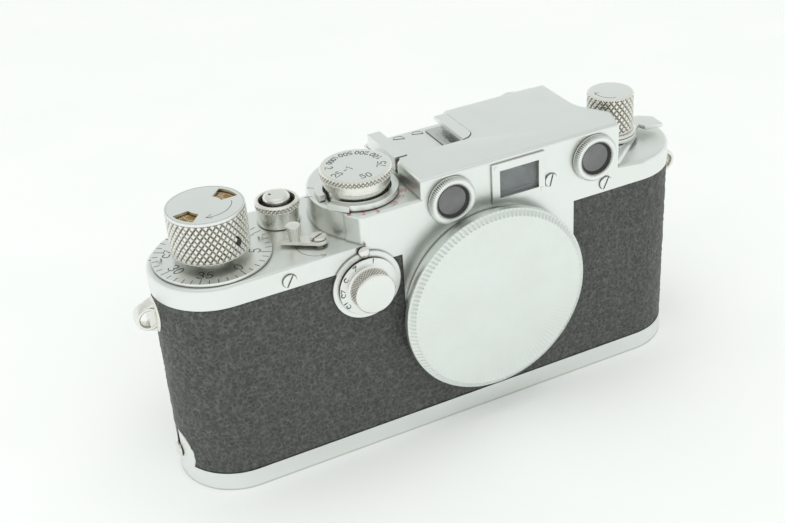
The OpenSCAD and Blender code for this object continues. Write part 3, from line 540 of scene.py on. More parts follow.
def bevel(name, width, angle=32, segments=3):
    """Rounds the edges of a CAD node with modifiers, which leave its own mesh alone."""
    obj = frame["nodes"][name]
    weld = obj.modifiers.new("weld", "WELD")
    weld.merge_threshold = 0.0005 * MM * 10
    flat = obj.modifiers.new("dissolve", "DECIMATE")
    flat.decimate_type = "DISSOLVE"
    flat.angle_limit = math.radians(1.0)
    edge = obj.modifiers.new("edges", "BEVEL")
    edge.width = width * MM
    edge.segments = segments
    edge.limit_method = "ANGLE"
    edge.angle_limit = math.radians(angle)
    edge.harden_normals = False
    obj.data.polygons.foreach_set("use_smooth", [True] * len(obj.data.polygons))
    smooth = obj.modifiers.new("normals", "WEIGHTED_NORMAL")
    smooth.keep_sharp = False
    return obj


# ---------------------------------------------------------------- CAD pieces kept as they are

record = frame["record"]
node_body = {n: obj["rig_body"] for n, obj in frame["nodes"].items()}
node_slot = {s["node"]: s["material_slot"] for s in record["subparts"]}

for cad_name, obj in frame["nodes"].items():
    obj.data.materials.clear()
    obj.data.materials.append(SLOT_MATERIAL[node_slot[cad_name]])

for cad_name, width in (("base_plate", 0.5), ("lens_flange", 0.2),
                        ("viewfinder_frame", 0.15), ("eyepiece_plate", 0.2),
                        ("accessory_shoe", 0.15), ("slow_dial_flange", 0.12),
                        ("flash_socket", 0.15), ("counter_dial", 0.08), ("sync_ring", 0.12),
                        ("diopter_lever", 0.2), ("base_key", 0.12), ("key_handle", 0.12),
                        ("knob_top_plate", 0.08), ("small_screws", 0.08), ("lever_screw", 0.1),
                        ("hook_stud", 0.1), ("shoe_spring", 0.08), ("release_button", 0.3),
                        ("rewind_lever", 0.12), ("slow_lock_button", 0.12)):
    bevel(cad_name, width)


def fixed_to(node_name):
    return node_body[node_name], node_slot[node_name]


def material_of(node_name):
    return SLOT_MATERIAL[node_slot[node_name]]


def turned_like(node_name, name, path, kind, origin, **options):
    """A turned piece that takes the place of a CAD node."""
    body, slot = fixed_to(node_name)
    return turned(name, path, body, options.pop("material", material_of(node_name)), slot, kind,
                  origin, replaces=(node_name,), **options)


def ring_path(r_out, r_in, h0, h1):
    return [(r_in, h0), (r_out, h0), (r_out, h1), (r_in, h1)]


def large_groups(edges, least):
    """Edges of the connected runs that are at least this long in x or y."""
    chosen, left = [], set(edges)
    while left:
        start = left.pop()
        run, queue = [start], [start]
        while queue:
            for vert in queue.pop().verts:
                for edge in vert.link_edges:
                    if edge in left:
                        left.discard(edge)
                        run.append(edge)
                        queue.append(edge)
        points = np.array([v.co for e in run for v in e.verts])
        if max(np.ptp(points[:, 0]), np.ptp(points[:, 1])) > least:
            chosen += run
    return chosen


def rounded_cover(width):
    """The top cover with its outer upper edges rounded; holes and the shoe's recess stay crisp."""
    source = frame["nodes"]["top_cover"]
    lo, hi = span("accessory_shoe")
    mesh = source.data.copy()
    mesh.transform(source.matrix_world)
    shell = bmesh.new()
    shell.from_mesh(mesh)
    bmesh.ops.remove_doubles(shell, verts=shell.verts, dist=0.002 * MM)
    bmesh.ops.dissolve_limit(shell, angle_limit=math.radians(1), verts=shell.verts,
                             edges=shell.edges)
    shell.normal_update()
    upper = []
    for edge in shell.edges:
        if len(edge.link_faces) != 2 or not edge.is_convex:
            continue
        steep = sorted(f.normal.z for f in edge.link_faces)
        x, y, _ = (edge.verts[0].co + edge.verts[1].co) / 2 / MM
        at_shoe = lo[0] - 0.6 < x < hi[0] + 0.6 and y > lo[1] - 0.6
        if steep[1] > 0.99 and abs(steep[0]) < 0.3 and not at_shoe:
            upper.append(edge)
    rim = large_groups(upper, 20 * MM)
    bmesh.ops.bevel(shell, geom=rim, offset=width * MM, offset_type="OFFSET", segments=4,
                    profile=0.5, affect="EDGES", clamp_overlap=False)
    shell.to_mesh(mesh)
    shell.free()
    body, slot = fixed_to("top_cover")
    cover = place("top_cover_rounded", mesh, body, CHROME, slot, 30)
    cover.modifiers.new("normals", "WEIGHTED_NORMAL").keep_sharp = True
    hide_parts("top_cover")


rounded_cover(0.85)


# ---------------------------------------------------------------- wind side

KNOB_LO, KNOB_HI = span("wind_knob")
WIND = np.array([(KNOB_LO[0] + KNOB_HI[0]) / 2, (KNOB_LO[1] + KNOB_HI[1]) / 2, 0])
KNOB_R = (KNOB_HI[0] - KNOB_LO[0]) / 2
PLATE_TOP = span("knob_top_plate")[1][2]


def wind_knob():
    base, top, foot = KNOB_LO[2] + 1.45, KNOB_HI[2], KNOB_LO[2]
    outside = soften([(4.4, foot), (4.4, base), (KNOB_R - 0.25, base), (KNOB_R, base + 0.3),
                      (KNOB_R, top - 0.12), (KNOB_R - 0.12, top), (8.4, top)], 0.12)
    path = refine(outside, base + 0.25, top - 0.1, 0.1)
    path += [(8.4, top - 1.2), (3.05, top - 1.2), (3.05, foot)]
    knurl = diamond(38, KNOB_R, 37.5, 0.42, base + 0.2, top + 0.1, 0.22)
    turned_like("wind_knob", "wind_knob_knurled", path, "top", WIND, cut=knurl, segments=760,
                closed=True, sharp=28, material=KNURL)


def set_screw():
    lo, hi = span("knob_set_screw")
    turn = math.radians(-61.5)
    seat = WIND + np.array([math.cos(turn), math.sin(turn), 0]) * (KNOB_R - 0.32)
    seat[2] = (lo[2] + hi[2]) / 2
    verts, faces = [], []
    tangent = np.array([-math.sin(turn), math.cos(turn), 0])
    outward = np.array([math.cos(turn), math.sin(turn), 0])
    for depth in (-0.5, 0.36):
        for k in range(32):
            a = 2 * math.pi * k / 32
            verts.append(seat + outward * depth + tangent * 0.62 * math.cos(a)
                         + np.array([0, 0, 1.05]) * math.sin(a))
    faces = [tuple(range(31, -1, -1)), tuple(range(32, 64))]
    faces += [(k, (k + 1) % 32, 32 + (k + 1) % 32, 32 + k) for k in range(32)]
    place_mesh("set_screw_hole", verts, faces, node_body["knob_set_screw"], BLACK,
               node_slot["knob_set_screw"], 30)


def knob_arrow():
    arc_pts = [(6.0 * math.cos(math.radians(a)), 6.0 * math.sin(math.radians(a)))
               for a in range(-14, -108, -3)]
    tip = np.array(arc_pts[-1])
    barbs = [[tuple(tip + np.array([1.5, 0.75])), tuple(tip), tuple(tip + np.array([1.2, -0.85]))]]
    inlay("knob_arrow", [arc_pts] + barbs, 0.13, 0.015, node_body["knob_top_plate"], BLACK,
          node_slot["knob_top_plate"], "top", WIND + [0, 0, PLATE_TOP])
    rim = [(8.55 * math.cos(math.radians(a)), 8.55 * math.sin(math.radians(a)))
           for a in range(0, 361, 4)]
    # painted shade: a thin grey ring along the edge of the knob's top plate
    inlay("knob_plate_line", [rim], 0.07, 0.01, node_body["knob_top_plate"], EDGE_SHADE,
          node_slot["knob_top_plate"], "top", WIND + [0, 0, PLATE_TOP])


def counter_marks():
    dial_top = WIND + [0, 0, span("counter_dial")[0][2] + 0.8]
    ticks, digits = [], []
    for i in range(40):
        a = -76 + 9 * i
        ticks.append(tick(a, 11.3 if i % 5 == 0 else 12.1, 13.35))
    for i in range(8):
        digits += figure_strokes(str(i * 5), 2.5, around(-73 + 45 * i, 9.75, inward=False))
    for name, strokes, pen in (("counter_ticks", ticks, 0.17), ("counter_numbers", digits, 0.24)):
        inlay(name, strokes, pen, 0.015, node_body["counter_dial"], BLACK,
              node_slot["counter_dial"], "top", dial_top)


def release_collar():
    lo, hi = span("release_collar")
    at = np.array([(lo[0] + hi[0]) / 2, (lo[1] + hi[1]) / 2, 0])
    r, foot, top = (hi[0] - lo[0]) / 2, lo[2], hi[2]
    sleeve = r - 0.35
    band0, band1 = top - 1.65, top - 0.4
    outside = soften([(sleeve - 0.15, foot), (sleeve, foot + 0.15), (sleeve, band0 - 0.1),
                      (r, band0), (r, band1), (r - 0.5, top), (r - 0.9, top),
                      (r - 1.0, top - 0.2)], 0.1)
    path = refine(outside, band0, band1, 0.07)
    path += [(r - 1.0, top - 2.1), (3.3, top - 2.1), (3.3, foot + 0.3), (1.6, foot + 0.3),
             (1.6, foot)]
    turned_like("release_collar", "release_collar_knurled", path, "top", at,
                cut=diamond(34, r, 42, 0.28, band0, band1, 0.3), segments=476, closed=True,
                sharp=28, material=KNURL)
    turned("release_recess", ring_path(r - 1.02, 3.32, top - 2.09, top - 2.0), "camera", BLACK,
           "black_cast", "top", at, segments=64, closed=True)
    wall = [(r - 1.02, top - 2.0), (r - 0.97, top - 0.75), (r - 1.12, top - 0.75),
            (r - 1.14, top - 2.0)]
    turned("release_recess_wall", wall, "camera", OXIDE, "black_cast", "top", at, segments=96,
           closed=True)
    button_top = span("release_button")[1][2]
    dot = [(-1.35 + 0.2 * math.cos(a), 0.55 + 0.2 * math.sin(a))
           for a in np.linspace(0, 2 * math.pi, 13)]
    inlay("button_dot", [dot], 0.32, 0.012, node_body["release_button"], BLACK, "black_cast",
          "top", at + [0, 0, button_top])


def release_coil():
    """Coil spring under the release plunger."""
    lo, hi = span("release_spring")
    at = centre("release_spring")
    wire, turns, sides, per_turn = 0.2, 6, 8, 32
    coil = (hi[0] - lo[0]) / 2 - wire
    z0, z1 = lo[2] + wire, hi[2] - wire
    count = turns * per_turn + 1
    verts = []
    for i in range(count):
        a = 2 * math.pi * i / per_turn
        z = z0 + (z1 - z0) * i / (count - 1)
        for k in range(sides):
            b = 2 * math.pi * k / sides
            r = coil + wire * math.cos(b)
            verts.append((at[0] + r * math.cos(a), at[1] + r * math.sin(a), z + wire * math.sin(b)))
    faces = [tuple(range(sides)), tuple(range((count - 1) * sides, count * sides))]
    for i in range(count - 1):
        for k in range(sides):
            m, a, b = (k + 1) % sides, i * sides, (i + 1) * sides
            faces.append((a + k, a + m, b + m, b + k))
    spring = place_mesh("release_coil", verts, faces, None, STEEL, node_slot["release_spring"])
    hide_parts("release_spring")
    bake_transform(spring)


def rewind_lever_pin():
    lo, hi = span("rewind_lever")
    pin = np.array([-35.2, -5.7, 0])
    z0, z1 = hi[2] - 3.55, hi[2]
    outside = soften([(0, z0), (1.3, z0), (1.72, z1 - 0.1), (1.55, z1 + 0.06), (0, z1 + 0.08)], 0.06)
    path = refine(outside, z0, z1 - 0.1, 0.3)
    body, slot = fixed_to("rewind_lever")
    turned("lever_pin_fluted", path, body, NICKEL, slot, "top", pin,
           cut=straight(18, 0.15, z0 + 0.1, z1 - 0.05, 0.42), segments=216, sharp=30)


def deck_marks():
    deck = span("counter_dial")[0][2] - 0.05
    pivot = np.array([-30.4, -8.3, deck])
    turn_arc = [(5.3 * math.cos(math.radians(a)), 5.3 * math.sin(math.radians(a)))
                for a in range(160, 268, 4)]
    tip = np.array(turn_arc[-1])
    barb = [tuple(tip + np.array([-1.0, 0.85])), tuple(tip), tuple(tip + np.array([-1.1, -0.45]))]
    inlay("lever_arc", [turn_arc, barb], 0.12, 0.012, "camera", BLACK, "chrome", "top", pivot)
    index = [tick(156, 13.7, 14.25)]
    inlay("counter_index", index, 0.2, 0.012, "camera", BLACK, "chrome", "top",
          np.array([WIND[0], 0, deck]))


def film_card():
    """Pale printing on the reminder disc under the knob's two windows."""
    top = span("reminder_disc")[1][2]
    digits = []
    for i, text in enumerate(("50", "80", "100", "25", "40", "160")):
        digits += figure_strokes(text, 1.25, around(8 + 60 * i, 6.6, inward=False))
        digits += figure_strokes(text, 1.0, around(8 + 60 * i, 4.9, inward=False))
        digits += figure_strokes("25", 1.1, around(38 + 60 * i, 6.6, inward=False))
    rings = [[(r * math.cos(math.radians(a)), r * math.sin(math.radians(a)))
              for a in range(0, 361, 6)] for r in (5.6, 7.6)]
    inlay("card_numbers", digits + rings, 0.16, 0.02, node_body["reminder_disc"], PRINT,
          node_slot["reminder_disc"], "top", WIND + [0, 0, top])


film_card()
wind_knob()
set_screw()
knob_arrow()
counter_marks()
release_collar()
release_coil()
rewind_lever_pin()
deck_marks()


# ---------------------------------------------------------------- speed dial

DIAL_LO, DIAL_HI = span("speed_dial")
DIAL = np.array([(DIAL_LO[0] + DIAL_HI[0]) / 2, (DIAL_LO[1] + DIAL_HI[1]) / 2, 0])


def speed_dial():
    z0, z1, r = DIAL_LO[2], DIAL_HI[2], (DIAL_HI[0] - DIAL_LO[0]) / 2
    band0, band1 = z1 - 1.85, z1 - 0.45
    outside = soften([(3.5, z0 + 1.5), (3.5, z0), (7.65, z0), (7.8, z0 + 0.15), (7.8, band0 - 0.1),
                      (r, band0), (r, band1), (r - 0.35, z1 - 0.02), (r - 0.6, z1)], 0.12)
    path = [(0, z0 + 1.5)] + refine(outside, band0, band1, 0.08) + [(0, z1)]
    turned_like("speed_dial", "speed_dial_knurled", path, "top", DIAL,
                cut=diamond(54, r, 46, 0.3, band0 - 0.05, band1 + 0.1, 0.3), segments=756,
                sharp=28, material=KNURL)
    turned("speed_dial_face", [(0, z1 + 0.012), (r - 0.75, z1 + 0.012), (r - 0.72, z1 - 0.05),
                               (0, z1 - 0.05)], node_body["speed_dial"], CHROME,
           node_slot["speed_dial"], "top", DIAL, segments=128)
    digits = []
    for angle, text, size in ((-92, "50", 1.9), (-30, "75", 1.9), (13, "100", 1.5),
                              (50, "200", 1.5), (87, "500", 1.5), (126, "1000", 1.3),
                              (162, "2", 1.7)):
        digits += figure_strokes(text, size, around(angle, 6.0, inward=False))
    line = math.radians(21)
    for text, x in (("25", -5.9), ("-", -3.3), ("1", -1.9)):
        digits += figure_strokes(text, 1.8, lambda u, v, x=x: (
            (x + u) * math.cos(line) - v * math.sin(line),
            (x + u) * math.sin(line) + v * math.cos(line)))
    inlay("speed_numbers", digits, 0.23, 0.025, node_body["speed_dial"], BLACK,
          node_slot["speed_dial"], "top", DIAL + [0, 0, z1])


def contact_numbers():
    step = span("sync_ring")[0][2] - 0.1
    digits = []
    for angle, text in ((-126, "0"), (-108, "2"), (-90, "5"), (-64, "10"), (-47, "15"),
                        (-30, "20")):
        digits += figure_strokes(text, 1.15, around(angle, 10.55, inward=False))
    inlay("contact_numbers", digits, 0.17, 0.012, "camera", RED, "chrome", "top",
          DIAL + [0, 0, step])
    marks = [tick(a, 10.6, 12.1) for a in (138, 160)]
    inlay("step_index", marks, 0.14, 0.012, "camera", BLACK, "chrome", "top", DIAL + [0, 0, step])


speed_dial()
contact_numbers()


# ---------------------------------------------------------------- front

SLOW_LO, SLOW_HI = span("slow_dial_flange")
SLOW = np.array([(SLOW_LO[0] + SLOW_HI[0]) / 2, 0, (SLOW_LO[2] + SLOW_HI[2]) / 2])
SLOW_FACE = -span("slow_dial")[0][1]


def slow_dial():
    foot, face = SLOW_FACE - 4.35, SLOW_FACE
    outside = soften([(7.0, foot), (7.15, foot + 0.1), (7.15, foot + 0.28), (5.3, foot + 0.7),
                      (4.95, foot + 0.85), (4.95, face - 0.3), (4.65, face), (4.4, face + 0.0)],
                     0.1)
    path = [(0, foot)] + refine(outside, foot + 0.85, face - 0.25, 0.11) + [(0, face)]
    turned_like("slow_dial", "slow_dial_knurled", path, "front", SLOW,
                cut=diamond(40, 4.95, 44, 0.3, foot + 0.9, face - 0.5, 0.28), segments=480,
                sharp=28, material=KNURL)
    turned("slow_dial_cap", soften([(0, face + 0.01), (4.35, face + 0.01), (4.6, face - 0.22),
                                    (4.68, face - 0.6), (0, face - 0.6)], 0.1),
           node_body["slow_dial"], CHROME, node_slot["slow_dial"], "front", SLOW, segments=128,
           sharp=28)
    turned("slow_dial_scale", [(5.2, foot + 0.3), (7.1, foot + 0.3), (7.17, foot + 0.36),
                               (7.1, foot + 0.43), (5.2, foot + 0.72)],
           node_body["slow_dial"], CHROME, node_slot["slow_dial"], "front", SLOW, segments=128,
           closed=True, sharp=28)
    digits = []
    for angle, text in ((76, "1"), (117, "2"), (148, "5"), (178, "25"), (-152, "15")):
        digits += figure_strokes(text, 1.6, around(angle, 6.15, inward=False))
    inlay("slow_numbers", digits, 0.16, 0.19, node_body["slow_dial"], BLACK,
          node_slot["slow_dial"], "front", SLOW + [0, -foot - 0.42, 0])


def lock_button():
    lo, hi = span("slow_lock_button")
    at = np.array([(lo[0] + hi[0]) / 2, 0, (lo[2] + hi[2]) / 2])
    r, foot, face = (hi[0] - lo[0]) / 2, -hi[1], -lo[1]
    dome = [(0, foot), (r, foot), (r, face - 0.75)]
    dome += [(r * math.cos(math.radians(a)), face - 0.75 + 0.75 * math.sin(math.radians(a)))
             for a in range(15, 90, 15)] + [(0, face)]
    turned_like("slow_lock_button", "lock_button_dome", dome, "front", at, segments=64, sharp=50)


def screw_rims():
    """Painted shade: thin dark rings in the gaps round the three countersunk screws of the front."""
    for i, (x, z) in enumerate(((26.9, 58.5), (42.4, 53.2), (-40.6, 52.9))):
        turned("screw_rim_%d" % i, ring_path(1.82, 1.55, 14.4, 14.53), "camera", EDGE_SHADE,
               "black_cast", "front", (x, 0, z), segments=48, closed=True)


def body_cap():
    lo, hi = span("body_cap")
    at = np.array([(lo[0] + hi[0]) / 2, 0, (lo[2] + hi[2]) / 2])
    r, rear, face = (hi[0] - lo[0]) / 2, -hi[1], -lo[1]
    rim = face - 1.15
    outside = soften([(r - 1.5, rear), (r - 0.1, rear), (r, rear + 0.12), (r, rim - 0.12),
                      (r - 0.12, rim - 0.02), (r, rim + 0.1), (r - 1.35, face - 0.12),
                      (r - 1.7, face)], 0.12)
    path = refine(outside, rim + 0.08, face - 0.02, 0.12) + [(0, face)]
    path = [(0, face - 1.2), (r - 1.5, face - 1.2)] + path
    ribs = straight(130, 0.42, rim + 0.08, face - 0.02, 0.42)
    turned_like("body_cap", "body_cap_ribbed", path, "front", at, cut=ribs, segments=1560,
                sharp=24, material=CAP_CHROME)


def bezel_ring(node_name):
    lo, hi = span(node_name)
    r, face = (hi[0] - lo[0]) / 2, -lo[1]
    at = np.array([(lo[0] + hi[0]) / 2, 0, (lo[2] + hi[2]) / 2])
    rear = 14.5
    outside = soften([(r - 0.45, rear), (r - 0.3, rear + 0.15), (r - 0.3, face - 0.3),
                      (r - 0.6, face), (4.7, face), (4.35, face - 0.35)], 0.12)
    path = refine(outside, rear + 0.1, face - 0.05, 0.12)
    path += [(4.35, rear - 1.8), (4.9, rear - 1.8), (4.9, rear)]
    turned_like(node_name, node_name + "_ribbed", path, "front", at,
                cut=straight(70, 0.3, rear + 0.2, face + 0.1, 0.45), segments=840,
                closed=True, sharp=24)
    turned(node_name + "_seat", [(4.36, face - 1.25), (4.36, face - 0.5), (3.85, face - 0.6),
                                 (3.4, face - 1.1), (3.4, face - 1.25)],
           "camera", BLACK, "black_cast", "front", at, segments=96, closed=True)


def viewfinder_lens():
    lo, hi = span("viewfinder_frame")
    at = np.array([(lo[0] + hi[0]) / 2 - 0.2, 0, (lo[2] + hi[2]) / 2 - 0.3])
    path = soften([(0, 11.0), (3.7, 11.0), (3.7, 11.6), (3.3, 12.1), (0, 12.6)], 0.3, 5)
    turned("viewfinder_objective", path, "camera", LENS_GREY, "glass", "front", at, segments=96)
    # painted reflection: a bright chrome plate behind the glass near its top stands in for the glint
    # in the window
    glint = [(at[0] - 2.2, -12.75, hi[2] - 3.4), (at[0] + 1.6, -12.75, hi[2] - 3.4),
             (at[0] + 1.6, -12.75, hi[2] - 1.6), (at[0] - 2.2, -12.75, hi[2] - 1.6)]
    glint += [(x, -12.65, z) for x, _, z in glint]
    place_mesh("viewfinder_glint_plate", glint, [(0, 1, 2, 3), (7, 6, 5, 4), (0, 4, 5, 1), (1, 5, 6, 2),
                                            (2, 6, 7, 3), (3, 7, 4, 0)], "camera", CHROME, "glass")
    # painted shade: a dark sheet behind the window stands in for the shaded interior
    verts = [(lo[0] + 2, -10.9, lo[2] + 1), (hi[0] - 2, -10.9, lo[2] + 1),
             (hi[0] - 2, -10.9, hi[2] - 1), (lo[0] + 2, -10.9, hi[2] - 1)]
    verts += [(x, -10.6, z) for x, _, z in verts]
    faces = [(0, 1, 2, 3), (7, 6, 5, 4), (0, 4, 5, 1), (1, 5, 6, 2), (2, 6, 7, 3), (3, 7, 4, 0)]
    place_mesh("viewfinder_shade_sheet", verts, faces, "camera", CAST, "black_cast")


slow_dial()
lock_button()
screw_rims()
body_cap()
bezel_ring("rf_bezel_left")
bezel_ring("rf_bezel_right")
viewfinder_lens()
# painted shade: the rangefinder windows take the dark coated glass that stands for the shaded
# interior
frame["nodes"]["rf_windows"].data.materials[0] = LENS_GREY


# ---------------------------------------------------------------- rewind side, lugs

def rewind_knob():
    lo, hi = span("rewind_knob")
    at = np.array([(lo[0] + hi[0]) / 2, (lo[1] + hi[1]) / 2, 0])
    z0, z1, r = lo[2], hi[2], 5.8
    outside = soften([(2.3, z0), (6.4, z0), (6.5, z0 + 0.1), (6.5, z0 + 0.5), (6.1, z0 + 0.75),
                      (r - 0.1, z0 + 0.8), (r, z0 + 1.0), (r, z1 - 0.35), (r - 0.3, z1),
                      (r - 0.6, z1)], 0.1)
    path = [(2.3, z1 - 2.6)] + refine(outside, z0 + 0.95, z1 - 0.3, 0.11) + [(0, z1)]
    path = [(0, z1 - 2.6)] + path
    turned_like("rewind_knob", "rewind_knob_knurled", path, "top", at,
                cut=diamond(25, r, 38, 0.4, z0 + 1.0, z1 - 0.15, 0.22), segments=500, sharp=28,
                material=KNURL)
    turned("rewind_knob_face", [(0, z1 + 0.012), (r - 0.7, z1 + 0.012), (r - 0.67, z1 - 0.05),
                                (0, z1 - 0.05)], node_body["rewind_knob"], CHROME,
           node_slot["rewind_knob"], "top", at, segments=96)
    turn = [(3.9 * math.cos(math.radians(a)), 3.9 * math.sin(math.radians(a)))
            for a in range(160, 262, 6)]
    tip = np.array(turn[0])
    barb = [tuple(tip + np.array([-0.5, -0.9])), tuple(tip), tuple(tip + np.array([0.75, -0.6]))]
    inlay("rewind_arrow", [turn, barb], 0.14, 0.025, node_body["rewind_knob"], BLACK,
          node_slot["rewind_knob"], "top", at + [0, 0, z1])


def strap_lugs():
    """A curved plate wrapped on each end, with a rounded eye standing out of it."""
    lo, hi = span("strap_lugs")
    body, slot = fixed_to("strap_lugs")
    end = 53.5
    zc = (lo[2] + hi[2]) / 2
    for side, name in ((-1, "strap_lug_left"), (1, "strap_lug_right")):
        verts, faces = [], []
        rings, spokes = 10, 48
        for layer, r in ((0, 14.0), (1, 15.1)):
            for i in range(rings + 1):
                f = i / rings
                lift = r - (0.45 * max(0, (f - 0.72) / 0.28) ** 2 if layer else 0)
                for k in range(spokes):
                    a = 2 * math.pi * k / spokes
                    half_y = 2.9 * f * math.cos(a)
                    z = zc + 4.6 * f * math.sin(a)
                    phi = half_y / 15
                    verts.append((side * (end + lift * math.cos(phi)), lift * math.sin(phi), z))
        row = (rings + 1) * spokes
        for layer in (0, 1):
            for i in range(rings):
                for k in range(spokes):
                    m = (k + 1) % spokes
                    a, b = layer * row + i * spokes, layer * row + (i + 1) * spokes
                    faces.append((a + k, a + m, b + m, b + k))
        for k in range(spokes):
            m = (k + 1) % spokes
            a, b = rings * spokes, row + rings * spokes
            faces.append((a + k, a + m, b + m, b + k))
        plate = place_mesh(name, verts, faces, body, NICKEL, slot, 40)
        if side < 0:
            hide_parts("strap_lugs")
        eye = [(2.5 + 0.62 * math.copysign(abs(math.cos(a)) ** 0.6, math.cos(a)),
                1.75 * math.copysign(abs(math.sin(a)) ** 0.75, math.sin(a)))
               for a in np.linspace(0, 2 * math.pi, 32, endpoint=False)]
        turned(name + "_eye", eye, body, NICKEL, slot, "front",
               np.array([side * (end + 16.4), 0, zc]), segments=96, closed=True, sharp=60)
        neck = [(side * (end + x), y, zc + z) for x, z in ((14.4, 3.9), (16.4, 3.05))
                for y in (-1.5, 1.5)]
        neck += [(x, y, 2 * zc - z) for x, y, z in neck]
        place_mesh(name + "_neck", neck, [(0, 1, 3, 2), (4, 6, 7, 5), (0, 2, 6, 4), (1, 5, 7, 3),
                                          (0, 4, 5, 1), (2, 3, 7, 6)], body, NICKEL, slot)


rewind_knob()
strap_lugs()


# ---------------------------------------------------------------- covering

# Circle of the base plate's hook tab on the left end, as in the CAD
TAB_Z, TAB_R = 7.3, 6.36


def lattice(u, v, cell_u, cell_v, rng):
    """Smooth random field over (u, v) with the given cell sizes, between -1 and 1."""
    iu, iv = u / cell_u, v / cell_v
    iu, iv = iu - iu.min() + 1, iv - iv.min() + 1
    values = rng.uniform(-1, 1, (int(iu.max()) + 3, int(iv.max()) + 3))
    a, b = iu.astype(int), iv.astype(int)
    fu, fv = iu - a, iv - b
    fu, fv = fu * fu * (3 - 2 * fu), fv * fv * (3 - 2 * fv)
    top = values[a, b] * (1 - fu) + values[a + 1, b] * fu
    low = values[a, b + 1] * (1 - fu) + values[a + 1, b + 1] * fu
    return top * (1 - fv) + low * fv


def wrinkles(s, z, rng):
    """Height of the grain: a net of narrow raised wrinkles over fine pebbles and soft waves."""
    warp_s = s + 0.35 * lattice(s, z, 1.3, 1.6, rng)
    warp_z = z + 0.35 * lattice(s, z, 1.6, 1.3, rng)
    pebbles = np.zeros_like(s)
    for turn, cell, weight in ((0.25, 1.15, 1.0), (-0.6, 0.9, 0.8)):
        u = warp_s * math.cos(turn) + warp_z * math.sin(turn)
        v = warp_z * math.cos(turn) - warp_s * math.sin(turn)
        pebbles += weight * (1 - np.abs(lattice(u, v, cell, cell * 1.4, rng))) ** 4
    broad = lattice(s, z, 5.0, 6.0, rng)
    return 0.15 * pebbles - 0.14 + 0.05 * lattice(s, z, 0.6, 0.6, rng) + 0.02 * broad


